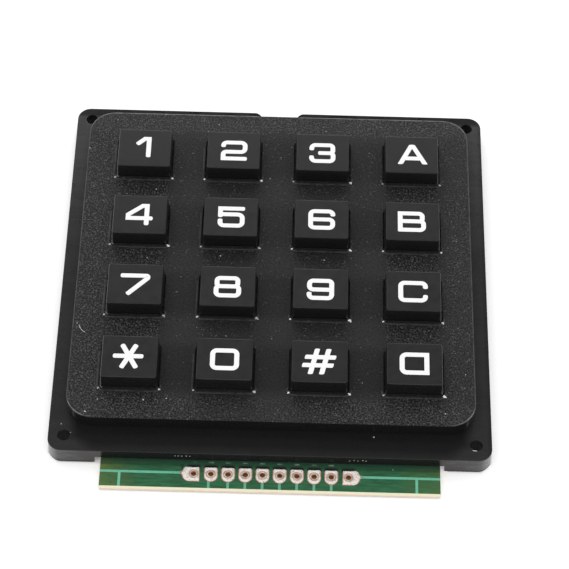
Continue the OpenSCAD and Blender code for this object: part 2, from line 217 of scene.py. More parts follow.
class KeypadSettings(bpy.types.PropertyGroup):
    """All settings of the keypad's finish."""
    stage: PointerProperty(type=StageSettings)
    legend: PointerProperty(type=LegendSettings)
    header: PointerProperty(type=HeaderSettings)
    mat: PointerProperty(type=MatSettings)
    rims: PointerProperty(type=RimSettings)
    dust: PointerProperty(type=DustSettings)
    colours: PointerProperty(type=ColourSettings)


# Meshes worked out as whole arrays

def grid_quads(rows, columns, wrap_rows, wrap_columns):
    """Corner numbers of the quads of a rows x columns grid of points, closed on itself where it wraps."""
    i = np.arange(rows if wrap_rows else rows - 1)[:, None]
    j = np.arange(columns if wrap_columns else columns - 1)[None, :]
    i_next, j_next = (i + 1) % rows, (j + 1) % columns
    corners = [i * columns + j, i_next * columns + j, i_next * columns + j_next, i * columns + j_next]
    return np.stack([c.ravel() for c in np.broadcast_arrays(*corners)], axis=1)


def full_turn(steps):
    """Angles of an even full turn in radians."""
    return np.linspace(0, 2 * math.pi, steps, endpoint=False)


def tube_faces(rows, columns, closed):
    """Faces of a tube of rows rings, closed on itself or with a cap at each end."""
    faces = grid_quads(rows, columns, closed, True).tolist()
    if not closed:
        faces += [list(range(columns)), list(range((rows - 1) * columns, rows * columns))]
    return faces


def new_piece(name, parts, material, body):
    """One mesh object out of (points, faces) parts, with outward faces, riding on its body."""
    points, faces, start = [], [], 0
    for part_points, part_faces in parts:
        points.append(part_points)
        faces += [[start + corner for corner in face] for face in part_faces]
        start += len(part_points)
    mesh = bpy.data.meshes.new(name)
    mesh.from_pydata(np.concatenate(points).tolist(), [], faces)
    shell = bmesh.new()
    shell.from_mesh(mesh)
    bmesh.ops.remove_doubles(shell, verts=shell.verts, dist=SAME_POINT)
    bmesh.ops.recalc_face_normals(shell, faces=shell.faces)
    shell.to_mesh(mesh)
    shell.free()
    mesh.shade_smooth()
    mesh.materials.append(material)
    piece = bpy.data.objects.new(name, mesh)
    bpy.context.scene.collection.objects.link(piece)
    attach(piece, body)
    return piece


def rounded_path(corners, closed):
    """Points of a path whose corner (x, y, r) is an arc of radius r, and whose corner (x, y) is sharp.

    An arc touches both sides at r * tan(turn / 2) from the corner and sweeps the turn evenly.
    """
    points = []
    count = len(corners)
    arc_steps = 9
    for k, corner in enumerate(corners):
        here = np.array(corner[:2], float)
        if len(corner) == 2 or (not closed and k in (0, count - 1)):
            points.append(here[None, :])
            continue
        to_last = np.array(corners[k - 1][:2]) - here
        to_next = np.array(corners[(k + 1) % count][:2]) - here
        to_last, to_next = to_last / np.linalg.norm(to_last), to_next / np.linalg.norm(to_next)
        opening = math.acos(float(np.clip(to_last @ to_next, -1, 1)))
        middle = (to_last + to_next) / np.linalg.norm(to_last + to_next)
        centre = here + middle * corner[2] / math.sin(opening / 2)
        side = np.array([-middle[1], middle[0]]) * np.sign(to_last @ [-middle[1], middle[0]])
        half = (math.pi - opening) / 2
        swing = np.linspace(half, -half, arc_steps)[:, None]
        points.append(centre + corner[2] * (side * np.sin(swing) - middle * np.cos(swing)))
    return np.concatenate(points)


def miters(points, closed):
    """Sideways vectors along a path, as long as keeps the sides of the ribbon parallel at each corner."""
    ahead = np.roll(points, -1, axis=0) - points
    if not closed:
        ahead[-1] = ahead[-2]
    ahead /= np.linalg.norm(ahead, axis=1, keepdims=True)
    behind = np.roll(ahead, 1, axis=0)
    if not closed:
        behind[0] = ahead[0]
    along = ahead + behind
    along /= np.linalg.norm(along, axis=1, keepdims=True)
    stretch = 1 / np.sum(along * ahead, axis=1, keepdims=True)
    return np.stack([-along[:, 1], along[:, 0]], axis=1) * stretch, along


# Ink profile: share of the half width, share of the film's thickness
INK_PROFILE = np.array([(-1, -1), (-1, 0.4), (-0.97, 0.75), (-0.9, 1), (0, 1.05), (0.9, 1), (0.97, 0.75),
                        (1, 0.4), (1, -1)])
# An end of ink narrows at these shares of its round, by an even curve of this power
END_STEPS = np.array([0, 0.4, 0.65, 0.82, 0.93, 0.985])
END_POWER = 2.4
LAYERS_IN_FILM = 5


def swept(path, sideways, across, up, closed):
    """Points and faces of a profile carried along a path: path + sideways * across, at the heights up."""
    flat = path[:, None, :] + sideways[:, None, :] * across[..., None]
    height = np.broadcast_to(up[None, :, None], (*flat.shape[:2], 1))
    return np.concatenate([flat, height], axis=2).reshape(-1, 3), tube_faces(*flat.shape[:2], closed)


def turned(centre, radius, height, angle):
    """Points and grid of a profile turned round an upright axis: centre + radius * (cos, sin) of angle."""
    x, y = centre[0] + radius * np.cos(angle), centre[1] + radius * np.sin(angle)
    return np.stack([x, y, np.broadcast_to(height, x.shape)], axis=2).reshape(-1, 3), x.shape


def ink_stroke(stroke, layer, centre, legend):
    """Points and faces of one printed stroke: the ink profile carried along the stroke's path.

    Each stroke of a legend is a layer that lies a fifth of the film higher than the one before.
    At an open end the half width shrinks as (1 - t^2.4)^(1/2.4) over the end round, t from 0 to 1.
    """
    closed = stroke["closed"]
    path = rounded_path(stroke["corners"], closed) * MM
    sideways, along = miters(path, closed)
    shrink = np.ones(len(path))
    if not closed:
        narrow = (1 - END_STEPS ** END_POWER) ** (1 / END_POWER)
        cut = stroke["cut"]
        reach = legend.cut_round if cut else legend.end_round
        for at, way in ((0, -1), (-1, 1)):
            across = sideways[at]
            if cut and cut != SQUARE:
                across = np.array(cut) / abs(np.array(cut) @ sideways[at])
                across *= np.sign(across @ sideways[at])
            ring = path[at] - along[at] * way * reach * (1 - END_STEPS)[:, None]
            ring_side = np.repeat(across[None, :], len(END_STEPS), axis=0)
            if way < 0:
                path = np.concatenate([ring[::-1], path[1:]])
                sideways = np.concatenate([ring_side, sideways[1:]])
                shrink = np.concatenate([narrow[::-1], shrink[1:]])
            else:
                path = np.concatenate([path[:-1], ring])
                sideways = np.concatenate([sideways[:-1], ring_side])
                shrink = np.concatenate([shrink[:-1], narrow])
    across = (legend.stroke / 2 * shrink)[:, None] * INK_PROFILE[None, :, 0]
    up = KEY_TOP + (INK_PROFILE[:, 1] + layer / LAYERS_IN_FILM) * legend.film
    return swept(path + centre, sideways, across, up, closed)


def line(*corners, cut=None):
    """An open stroke. Its ends are round, or cut along the given direction, or cut square to the stroke."""
    return {"corners": corners, "closed": False, "cut": cut}


def loop(*corners):
    """A closed stroke."""
    return {"corners": corners, "closed": True, "cut": None}


# Strokes of each legend in millimetres from the key's centre, as (x, y) or (x, y, radius of the bend)
LEVEL = (1, 0)
LEAN = (0.24, 1)
SQUARE = "square"
GLYPHS = {
    "1": [line((-1.26, 0.62), (-0.02, 1.80), (0.64, 1.80), (0.64, -1.93))],
    "2": [line((-1.65, 0.54), (-1.65, 1.50, 0.58), (1.80, 1.50, 0.66), (1.80, -0.38, 0.66),
               (-1.65, -0.38, 0.52), (-1.65, -1.74), (2.15, -1.74))],
    "3": [line((-1.76, 0.35), (-1.76, 1.45, 0.62), (1.60, 1.45, 0.52), (1.60, -0.16, 0.52), (-0.75, -0.16)),
          line((-0.75, -0.16), (1.65, -0.16, 0.52), (1.65, -1.79, 0.62), (-1.78, -1.79, 0.66),
               (-1.78, -0.70))],
    "a": [line((-1.88, -1.97), (0.03, 2.0), cut=LEVEL), line((2.10, -1.93), (0.05, 2.0), cut=LEVEL),
          line((-1.25, -0.78), (1.40, -0.78))],
    "4": [line((1.08, -2.12), (1.08, 1.63), (0.42, 1.63), (-1.80, -0.12), (-1.80, -0.78), (2.05, -0.78))],
    "5": [line((2.18, 1.55), (-1.64, 1.55), (-1.64, -0.17)),
          line((-1.64, 0.42), (1.80, 0.42, 0.72), (1.80, -1.75, 0.66), (-1.65, -1.75, 0.62), (-1.65, -0.46))],
    "6": [line((1.72, 0.52), (1.72, 1.48, 0.64), (-1.74, 1.48, 0.62), (-1.74, -1.71, 0.58),
               (1.70, -1.71, 0.62), (1.70, -0.10, 0.62), (-1.74, -0.10))],
    "b": [line((-1.96, -2.04), (-1.96, 1.50), (1.48, 1.50, 0.56), (1.48, 0.0, 0.5), (-1.96, 0.0), cut=SQUARE),
          line((-1.96, 0.0), (1.67, 0.0, 0.56), (1.67, -1.67, 0.62), (-2.30, -1.67), cut=SQUARE)],
    "7": [line((-2.24, 1.50), (1.93, 1.50, 0.22), (1.93, 1.08, 0.3), (-1.13, -2.02))],
    "8": [loop((-1.66, 1.47, 0.5), (1.51, 1.47, 0.5), (1.51, -0.05, 0.5), (-1.66, -0.05, 0.5)),
          loop((-1.76, -0.05, 0.5), (1.69, -0.05, 0.5), (1.69, -1.75, 0.62), (-1.76, -1.75, 0.62))],
    "9": [line((-1.77, -0.68), (-1.77, -1.77, 0.62), (1.66, -1.77, 0.62), (1.66, 1.43, 0.52),
               (-1.73, 1.43, 0.62), (-1.73, -0.21, 0.62), (1.66, -0.21))],
    "c": [line((1.78, 0.41), (1.80, 1.47, 0.66), (-2.0, 1.47, 0.62), (-2.0, -1.74, 0.62),
               (1.76, -1.74, 0.66), (1.76, -0.71))],
    "star": [line((-2.49, 0.04), (2.09, 0.04)), line((-1.20, 2.12), (1.10, -2.08)),
             line((0.98, 2.12), (-1.18, -2.12))],
    "0": [loop((-1.80, 1.46, 0.66), (1.81, 1.46, 0.66), (1.81, -1.66, 0.66), (-1.80, -1.66, 0.66))],
    "hash": [line((-0.34, 2.24), (-1.42, -2.33), cut=LEVEL), line((1.38, 2.22), (0.27, -2.33), cut=LEVEL),
             line((-2.22, 0.73), (2.45, 0.70), cut=LEAN), line((-2.62, -0.73), (2.07, -0.75), cut=LEAN)],
    "d": [loop((1.79, 1.60), (1.79, -1.58), (-1.90, -1.58, 0.7), (-1.90, 1.60, 0.7))],
}


# Materials

class Nodes:
    """A node tree with short calls for the nodes that the finishes share."""

    def __init__(self, tree):
        self.tree = tree

    def node(self, kind, inputs=None, **settings):
        """A new node with its settings, and its inputs by name or number, each a value or a socket."""
        made = self.tree.nodes.new(kind)
        for key, value in settings.items():
            setattr(made, key, value)
        for key, value in (inputs or {}).items():
            self.feed(made.inputs[key], value)
        return made

    def feed(self, socket, value):
        """Links a socket, or sets a plain value."""
        if isinstance(value, bpy.types.NodeSocket):
            self.tree.links.new(value, socket)
        elif socket.type == "RGBA" and len(value) == 3:
            socket.default_value = (*value, 1)
        else:
            socket.default_value = value

    def parts(self, vector):
        """The three coordinates of a vector."""
        return list(self.node("ShaderNodeSeparateXYZ", {"Vector": vector}).outputs)

    def math(self, operation, *values):
        """Arithmetic on values."""
        return self.node("ShaderNodeMath", dict(enumerate(values)), operation=operation).outputs[0]

    def fold(self, operation, values):
        """One operation on all values, from left to right."""
        made = values[0]
        for value in values[1:]:
            made = self.math(operation, made, value)
        return made

    def times(self, *values):
        """The product of the values."""
        return self.fold("MULTIPLY", values)

    def plus(self, *values):
        """The sum of the values."""
        return self.fold("ADD", values)

    def most(self, *values):
        """The largest of the values."""
        return self.fold("MAXIMUM", values)

    def less(self, a, b):
        """The difference of two values."""
        return self.math("SUBTRACT", a, b)

    def off(self, value, centre=0.0):
        """How far a value lies from a centre, on either side."""
        return self.math("ABSOLUTE", self.less(value, centre))

    def span(self, value, low, high, start=0.0, end=1.0):
        """The value from low to high, mapped to start to end and held there outside."""
        inputs = {"Value": value, "From Min": low, "From Max": high, "To Min": start, "To Max": end}
        return self.node("ShaderNodeMapRange", inputs).outputs["Result"]

    def reach(self, value, low, high, start=0.0, end=1.0):
        """A distance from low to high millimetres, mapped to start to end and held there outside."""
        return self.span(value, low * MM, high * MM, start, end)

    def mix_value(self, factor, a, b):
        """Value from a to b."""
        return self.node("ShaderNodeMix", {0: factor, 2: a, 3: b}).outputs[0]

    def seen(self):
        """1 for what the camera sees, also in a mirror or through glass, and 0 for light on its way."""
        rays = self.node("ShaderNodeLightPath").outputs
        return self.most(rays["Is Camera Ray"], rays["Is Glossy Ray"], rays["Is Transmission Ray"])


class Finish(Nodes):
    """A material's node tree. x, y and z are the place on the keypad in metres, other sizes millimetres."""

    def __init__(self, name, viewport_colour):
        self.material = bpy.data.materials.new(name)
        self.material.use_nodes = True
        self.material.diffuse_color = (*viewport_colour, 1)
        super().__init__(self.material.node_tree)
        self.tree.nodes.clear()
        self.surface = self.node("ShaderNodeBsdfPrincipled")
        self.output = self.node("ShaderNodeOutputMaterial")
        self.feed(self.output.inputs["Surface"], self.surface.outputs["BSDF"])
        self.coordinates = self.node("ShaderNodeTexCoord").outputs
        self.place = self.coordinates["Object"]
        self.x, self.y, self.z = self.parts(self.place)

    def set(self, **inputs):
        """Sets the surface's sockets, with underscores for the spaces in their names."""
        for key, value in inputs.items():
            self.feed(self.surface.inputs[key.replace("_", " ")], value)

    def faces(self, axis, low, high):
        """1 where the surface faces along an axis, either way, and 0 where it faces aside."""
        return self.span(self.off(self.parts(self.coordinates["Normal"])[axis]), low, high)

    def stretched(self, factors):
        """Object coordinates stretched by a factor on each axis."""
        return self.node("ShaderNodeMapping", {"Vector": self.place, "Scale": factors}).outputs["Vector"]

    def noise(self, size, detail=2.0, roughness=0.5, vector=None):
        """Cloudy noise whose features are about size millimetres."""
        inputs = {"Vector": vector or self.place, "Scale": 1 / (size * MM), "Detail": detail}
        return self.node("ShaderNodeTexNoise", {**inputs, "Roughness": roughness}).outputs["Fac"]

    def uneven(self, size, detail, start=0.0, end=1.0, half=0.2):
        """Noise that wanders from start to end, reached at half less and half more than its mean."""
        return self.span(self.noise(size, detail), 0.5 - half, 0.5 + half, start, end)

    def cells(self, size, output="Distance"):
        """Cells of about size millimetres: the distance to each one's centre, or its random colour."""
        inputs = {"Vector": self.place, "Scale": 1 / (size * MM)}
        return self.node("ShaderNodeTexVoronoi", inputs).outputs[output]

    def mix(self, factor, a, b):
        """Colour from a to b."""
        return self.node("ShaderNodeMix", {0: factor, 6: a, 7: b}, data_type="RGBA").outputs[2]

    def from_key(self, axis):
        """One coordinate measured from the middle of the nearest key."""
        half = KEY_PITCH[axis] / 2
        return self.math("WRAP", self.less((self.x, self.y)[axis], KEY_MIDDLE[axis]), half, -half)

    def past(self, low, high, start, end):
        """For x and for y, 0 up to start millimetres past a rectangle's side, and 1 from end on."""
        sides = []
        for axis, at in enumerate((self.x, self.y)):
            half = (high[axis] - low[axis]) / 2
            away = self.off(at, (low[axis] + high[axis]) / 2)
            sides.append(self.span(away, half + start * MM, half + end * MM))
        return sides

    def soft_edges(self, radius):
        """Normals rounded over the edges by a radius in metres, a value or a socket."""
        return self.node("ShaderNodeBevel", {"Radius": radius}, samples=6).outputs["Normal"]

    def bump(self, height, depth, strength=1.0, normal=None):
        """Relief of the given depth in millimetres."""
        inputs = {"Height": height, "Distance": depth * MM, "Strength": strength}
        if normal:
            inputs["Normal"] = normal
        return self.node("ShaderNodeBump", inputs).outputs["Normal"]

    def skin(self, patches, relief, normal=None):
        """Ends a finish: roughness in patches (size, low, high), and relief (size, depth, strength)."""
        size, low, high = patches
        grain, depth, strength = relief
        self.set(Roughness=self.uneven(size, 2, low, high))
        self.set(Normal=self.bump(self.noise(grain, 2), depth, strength, normal))
        return self.material


def scaled(value, factor):
    """A colour times a factor."""
    return tuple(min(1.0, c * factor) for c in value)


# Fixed tints of small marks
BLACK = (0, 0, 0)
GRAIN_DUST_AND_SPARKLE = (0.13, 0.13, 0.125)
EDGE_HIGHLIGHT = (0.16, 0.16, 0.16)
SHADED_MASK = (0.014, 0.042, 0.025)
PAD_REAR_DARK = (0.011, 0.012, 0.01)
PAD_REAR_DARK_COPPER = (0.01, 0.008, 0.008)
OLD_PRINT = (0.3, 0.36, 0.33)
TIN_HIGHLIGHT = (1, 0.95, 0.92)
GREY_CARD = (0.8, 0.8, 0.8)
PALE_CARD = (0.82, 0.82, 0.82)
# Areas of the housing seen from above, from the front left to the rear right end
WINDOW_AREA = np.array([(-29, -27), (29, 28)]) * MM
PLATEAU_FOOT = np.array([(-31, -29.2), (31, 30.6)]) * MM
DUSTY_AREA = np.array([(-29.5, -27.5), (29.5, 28.5)]) * MM
# Soft limits in millimetres, each from where a zone or a shading starts to where it is in full
LEFT_STRIP, RIGHT_STRIP = (-24.8, -26.5), (25, 27)
REAR_STRIP, FRONT_STRIP = (25.6, 26.8), (-23.8, -24.6)
FRONT_TO_REAR = (-20, 20)
WALL_END = (26, 29)
NOTCH_END = (25.3, 25.5)
CORNER_START = (31.4, 32)
BESIDE_TAB, NOTCH_SIDE, NOTCH_REAR = (24.8, 25), (26.6, 26.4), (-29.6, -30)
MIDDLE_TO_RIGHT = (-1, 1)
OUTER_LEFT, OUTER_RIGHT = (-24, -25), (25, 25.4)
BEHIND_FRONT_ROW, REAR_ROW_EDGE = (-16, -13), (23, 23.5)
NEAR_WALL, UNDER_WALL = (3.5, 3.75), (4.1, 4.7)
MASKED_TIP = (1.86, 1.92)
# How squarely a level face and a side face have to look along their axis
LEVEL_FACE, SIDE_FACE = (0.45, 0.55), (0.4, 0.6)


def housing_grain(f, colours, rims):
    """Spark-eroded grain of the plateau's top: its colour, with painted shade in front of and beside the
    keys, and how coarse it is.

    It is coarsest along the left and the rear, and finest between the keys.
    """
    aside = f.off(f.x)
    left, right = f.reach(f.x, *LEFT_STRIP), f.reach(f.x, *RIGHT_STRIP)
    rear, front = f.reach(f.y, *REAR_STRIP), f.reach(f.y, *FRONT_STRIP)
    ahead = f.math("FLOORED_MODULO", f.less(KEY_LOW.y + rims.inset, f.y), KEY_PITCH.y)
    before = f.times(f.reach(f.off(f.from_key(0)), 4.6, 3.9),
                     f.reach(ahead, 0.2, 0.6), f.reach(ahead, 4.6, 3.4))
    beside = f.times(f.reach(f.off(f.from_key(1)), 4.8, 3.2), f.reach(aside, 26, 24.6))
    # How coarse the grain is in each strip, and between them
    coarse = f.most(
        f.times(left, 1.45), f.times(right, 0.8), f.times(rear, 1.45),
        f.times(front, f.reach(aside, 4, 14, 0.7, 1.3)),
        f.times(before, f.reach(aside, 8, 22, 0.45, 1.2)),
        f.reach(f.y, *FRONT_TO_REAR, 0.3, 0.5))
    coarse = f.times(coarse, f.uneven(1.6, 2, 0.7, 1.3, half=0.15))
    # How bright it is: strips, painted shade of the keys in front of and beside them, cloudy patches and the
    # grain itself
    tone = f.plus(
        f.most(f.times(rear, 0.65), f.times(front, 0.2)), f.times(right, 0.1),
        f.times(before, f.reach(ahead, 0.8, 3, -0.35, 0.1)),
        f.times(beside, f.reach(f.y, *FRONT_TO_REAR, -0.65, -0.4)),
        f.uneven(9, 3, 0.88, 1.12, half=0.15),
        f.times(coarse, f.span(f.noise(0.28, 2, 0.6), 0.33, 0.67, -2.5, 2.5)))
    # The tone may pass 1, so it is spread over a colour that is bright times the housing's
    bright = 5
    moulded = f.mix(f.span(tone, 0, bright), BLACK, scaled(colours.housing, bright))
    # Few cells hold a pale fleck, partly dust and partly painted sparkle of the grain, and more of them do
    # where the grain is coarse
    fleck_size, fewest, most = 0.15, 0.998, 0.96
    chance = f.parts(f.cells(fleck_size, "Color"))[0]
    dust_and_glints = f.math("GREATER_THAN", chance, f.span(coarse, 0.3, 1, fewest, most))
    return f.mix(f.times(dust_and_glints, 0.6), moulded, GRAIN_DUST_AND_SPARKLE), coarse


def housing_skin(f, colours):
    """Smoother skin of the flange and walls: its colour, darkest on the front wall and on the band before it,
    where the wall's shade is painted.
    """
    aside = f.off(f.x)
    # Painted shade: the band before the plateau's front wall takes the wall's dark colour, which fades out
    # toward the flange's front edge
    ahead_of_wall = f.span(f.y, f.reach(aside, *WALL_END, -31.2 * MM, -29.8 * MM),
                           f.reach(aside, *WALL_END, -34.2 * MM, -31.2 * MM))
    band = f.most(f.reach(aside, 28.6, 30.4), f.reach(f.y, 25, 28), ahead_of_wall)
    # Painted light: the flange is painted brighter toward the rear, as the light comes from behind; it also
    # varies in streaks along x, and is dark at its right and rear edges
    streaks = f.noise(0.6, 2, vector=f.stretched((0.12, 1, 1.6)))
    lit = f.times(f.reach(f.y, 4, 24, 0.56, 1.08), f.span(streaks, 0.3, 0.7, 0.9, 1.1),
                  f.reach(f.x, 32.2, 32.7, 1, 0.62), f.reach(f.y, 30.6, 31.2, 1, 0.1))
    # The light may pass 1, so half of it is taken of a colour that is bright times the flange's
    bright = 4
    skin = f.mix(band, colours.wall, f.mix(f.times(lit, 0.5), BLACK, scaled(colours.flange, bright)))
    # Painted reflection: its front side pales from the notch out to the corners, as it mirrors the white
    # floor there and the dark board by the notch; painted shade darkens the notch and the side's foot
    drawn = f.noise(0.5, 3, 0.6, f.stretched((0.3, 1, 1)))
    drawn_out = f.plus(aside, f.span(drawn, 0.3, 0.7, -4 * MM, 4 * MM))
    fore = f.mix(f.reach(drawn_out, 27, 34), colours.side, colours.side_end)
    fore = f.mix(f.reach(aside, *CORNER_START), fore, scaled(colours.side_end, 1.9))
    fore = f.mix(f.reach(aside, *NOTCH_END), scaled(colours.wall, 1.5), fore)
    lowest = f.reach(aside, 29, 32, 0.3 * MM, 0.15 * MM)
    fore = f.mix(f.reach(f.less(f.z, lowest), 0, 0.25), scaled(colours.wall, 0.3), fore)
    front_side = f.reach(f.less(f.reach(aside, 31.2, 32, 0, 1.4 * MM), f.y), 32.3, 32.5)
    return f.mix(f.times(front_side, f.reach(f.z, 3.17, 3.1)), skin, fore)


def housing_plastic(colours, rims):
    """Black moulding: grained on the plateau's top, smooth elsewhere, and painted paler on the windows' walls
    as light in the gaps round the keys.
    """
    f = Finish("housing_moulding", colours.housing)
    height = f.less(f.z, PLATEAU_TOP)
    top = f.reach(height, -0.2, -0.02)
    moulded, coarse = housing_grain(f, colours, rims)
    # Painted light: the windows' walls take a pale grey, for the light seen in the gaps round the keys
    well = f.most(*f.past(*WINDOW_AREA, 0, 0.5), f.reach(height, -1.6, -1.7))
    f.set(Base_Color=f.mix(top, f.mix(well, colours.well, housing_skin(f, colours)), moulded))
    f.set(IOR=1.5, Roughness=f.mix_value(top, f.uneven(3, 3, 0.24, 0.32), f.uneven(0.4, 2, 0.56, 0.7)))
    foot = f.most(*f.past(*PLATEAU_FOOT, 0, 0.1), f.reach(height, -2, -1.5))
    outside_notch = f.most(f.reach(f.off(f.x), 25.4, 26), f.reach(f.y, -31, -30))
    rounding = f.times(foot, well, outside_notch, f.reach(f.z, 4, 5, 0.05 * MM, 0.1 * MM))
    ripple = f.bump(f.noise(2.2, 2), 0.006, 0.35, f.soft_edges(rounding))
    f.set(Normal=f.bump(f.noise(0.2, 3, 0.7), 0.03, f.times(top, coarse), ripple))
    return f.material


def rim_plastic(colours):
    """Black moulding with a painted highlight: grey in front of the windows, and a little at their sides."""
    f = Finish("rim_moulding", colours.rim)
    front = f.most(f.reach(f.from_key(1), -3.2, -3.9, 0.1, 1), f.reach(f.x, -25, -25.4, 0, 1.1))
    painted_highlight = f.times(f.span(f.noise(0.9, 3), 0.38, 0.64, 0.2, 1.9), front)
    f.set(IOR=1.5, Base_Color=f.mix(painted_highlight, colours.housing, colours.rim))
    return f.skin(patches=(0.8, 0.55, 0.7), relief=(0.2, 0.01, 0.4))


def painted_edge_highlight(colours, low, high):
    """The plateau's edge with a painted highlight: a light line round its corners and a fainter one between
    them.
    """
    f = Finish("painted_edge_highlight", colours.rim)
    corners = f.math("MINIMUM", *f.past(low, high, -4, -2.4))
    sides = f.reach(f.less(f.y, low[1]), 0.5, 5, 0, 0.3)
    rear = f.times(f.reach(f.less(f.y, high[1]), -1, -0.3, 0, 0.9), f.reach(f.off(f.x), 3.2, 3.6))
    painted_highlight = f.times(f.most(corners, f.plus(sides, rear)), f.span(f.noise(1.2, 3), 0.3, 0.65, 0.3, 1))
    f.set(IOR=1.6, Base_Color=f.mix(painted_highlight, colours.housing, EDGE_HIGHLIGHT))
    return f.skin(patches=(0.6, 0.35, 0.5), relief=(0.2, 0.01, 0.4))


def key_plastic(colours, rims):
    """Satin black moulding of the keys, with a faint orange-peel skin, paler spots, and painted light on its
    sides, edges and foot.
    """
    f = Finish("key_moulding", colours.key)
    flat, beside = f.faces(2, *LEVEL_FACE), f.faces(0, *SIDE_FACE)
    # Painted highlight: the sides are painted paler just under the top, fading downward, and hardly at all in
    # the front row
    below = f.less(KEY_TOP, f.z)
    graded = f.times(f.plus(f.reach(below, 0.05, 0.4, 0.2, 0), f.reach(below, 0.3, 2.6, 0.1, 0)),
                     f.reach(f.y, *BEHIND_FRONT_ROW, 0.15, 1))
    # Painted highlight: a pale line along the tops' left edges, most of all in the left column, and in the
    # rear row along the rear edges
    edge = KEY_MIDDLE - KEY_LOW - Vector((rims.taper, rims.taper, 0))
    leftmost = f.reach(f.x, *OUTER_LEFT)
    left = f.times(f.reach(f.plus(f.from_key(0), edge.x), 0.16, 0),
                   f.mix_value(leftmost, f.reach(f.from_key(1), 2.6, 1, 0, 0.25), 0.85))
    rear = f.times(f.reach(f.less(f.from_key(1), edge.y), -0.25, 0), f.reach(f.y, *REAR_ROW_EDGE, 0, 0.5))
    skin = f.mix(f.span(f.noise(2.6, 3), 0.45, 0.75), colours.key, scaled(colours.key, 1.18))
    skin = f.mix(f.mix_value(flat, graded, f.most(left, rear)), skin, scaled(colours.key, 8))
    # Painted light: the outer sides of the outer columns are pale all over, and each foot is paler, most of
    # all at the left column, for the light seen in the gaps round the keys
    outer = f.plus(leftmost, f.reach(f.x, *OUTER_RIGHT, 0, 0.75))
    skin = f.mix(f.times(outer, beside), skin, colours.painted_light_sides)
    low_skin = f.mix(beside, colours.foot, scaled(colours.foot, 2.2))
    low_skin = f.mix(f.reach(f.x, -25.2, -25.5), low_skin, scaled(colours.painted_light_sides, 5))
    f.set(Base_Color=f.mix(f.reach(f.less(f.z, PLATEAU_TOP), 0.1, 0), skin, low_skin))
    f.set(IOR=1.6, Roughness=f.mix_value(flat, 0.26, f.uneven(1.1, 3, 0.36, 0.46)))
    rounding = f.reach(f.off(f.from_key(0)), 2.4, 4, 0.22 * MM, 0.12 * MM)
    peel = f.bump(f.noise(0.5, 2), 0.003, 0.5, f.soft_edges(rounding))
    f.set(Normal=f.bump(f.noise(0.09, 2), 0.004, 0.4, peel))
    return f.material


def legend_ink(colours):
    """White pad-printed ink, slightly uneven."""
    f = Finish("white_ink", colours.legend)
    f.set(Base_Color=f.mix(f.noise(0.6, 3), colours.legend, scaled(colours.legend, 0.95)))
    return f.skin(patches=(0.3, 0.45, 0.6), relief=(0.12, 0.004, 0.4))


def pad_marks(f, header, face, from_middle):
    """The board's face with a dark line behind each pad, and a faint dash of old print behind it."""
    steps = hole_steps(f, header)
    from_hole = f.times(f.off(steps, f.math("ROUND", steps)), header.pitch)
    behind = f.less(f.y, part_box("header_pads")[1].y)
    rear_dark = f.times(f.reach(behind, 0.4, 0.15), f.reach(from_hole, 1.15, 0.75),
                   f.reach(from_middle, 13.2, 12.8), f.reach(behind, -0.5, -0.3))
    dash_line = 0.72 * MM
    dash = f.times(f.reach(from_hole, 0.45, 0.3), f.reach(f.off(behind, dash_line), 0.16, 0.04),
                   f.reach(from_middle, 9.5, 11.5, 1, 0), f.uneven(0.9, 2, 0.15, 0.6, half=0.15))
    return f.mix(dash, f.mix(rear_dark, face, PAD_REAR_DARK), OLD_PRINT)


def board_laminate(colours, header):
    """Green mask on the faces, olive near the tab's ends, and bare woven laminate on the cut edges."""
    f = Finish("board_laminate", colours.mask)
    flat = f.faces(2, *LEVEL_FACE)
    from_middle = f.off(f.x, (BOARD_LOW.x + BOARD_HIGH.x) / 2)
    olive = f.times(f.reach(from_middle, 19, 26), f.uneven(2.5, 3, 0.3, 1, half=0.15))
    weave = f.noise(0.3, 2, vector=f.stretched((0.15, 1.0, 1.0)))
    green = f.mix(f.span(weave, 0.35, 0.65), scaled(colours.mask, 0.8), scaled(colours.mask, 1.25))
    # The mask darkens toward the rear, where the housing shades it
    from_front = f.less(f.y, BOARD_LOW.y)
    shade = f.plus(f.reach(from_front, *NEAR_WALL, 0, 0.62), f.reach(from_front, *UNDER_WALL, 0, 0.32))
    face = pad_marks(f, header, f.mix(shade, f.mix(olive, green, colours.mask_end), SHADED_MASK), from_middle)
    # The cut edge has a lower layer, which rises to a ragged line, and fibres that lie level
    fibres = f.noise(0.25, 3, 0.6, f.stretched((0.25, 0.25, 3.0)))
    low, thick = BOARD_LOW.z, BOARD_HIGH.z - BOARD_LOW.z
    ragged = f.plus(f.z, f.uneven(1.5, 3, -0.1 * MM, 0.1 * MM))
    upper = f.span(ragged, low + 0.3 * thick, low + 0.4 * thick)
    layers = f.mix(upper, colours.laminate_low, colours.laminate)
    edge = f.mix(f.span(fibres, 0.3, 0.7, 0.15, 0), layers, scaled(colours.laminate, 0.5))
    f.set(Base_Color=f.mix(flat, edge, face))
    f.set(Roughness=f.mix_value(flat, 0.75, f.uneven(0.8, 2, 0.26, 0.36)))
    strength = f.mix_value(flat, 0.9, 0.12)
    f.set(Normal=f.bump(f.mix_value(flat, fibres, weave), 0.02, strength, f.soft_edges(0.05 * MM)))
    return f.material


def masked_track(colours):
    """Copper seen through the green mask, darkest between the pads' tracks."""
    f = Finish("masked_track", colours.track)
    uneven = f.mix(f.noise(0.7, 3), scaled(colours.track, 0.85), scaled(colours.track, 1.2))
    f.set(Base_Color=f.mix(f.reach(f.off(f.x), 12, 15, 0.3, 0), uneven, scaled(colours.track, 0.4)))
    return f.skin(patches=(0.5, 0.25, 0.38), relief=(0.25, 0.008, 0.3), normal=f.soft_edges(0.03 * MM))


def hole_steps(f, header):
    """x counted in steps from one header hole to the next, 0 at the first."""
    return f.math("DIVIDE", f.less(f.x, header_centres(header)[0][0]), header.pitch)


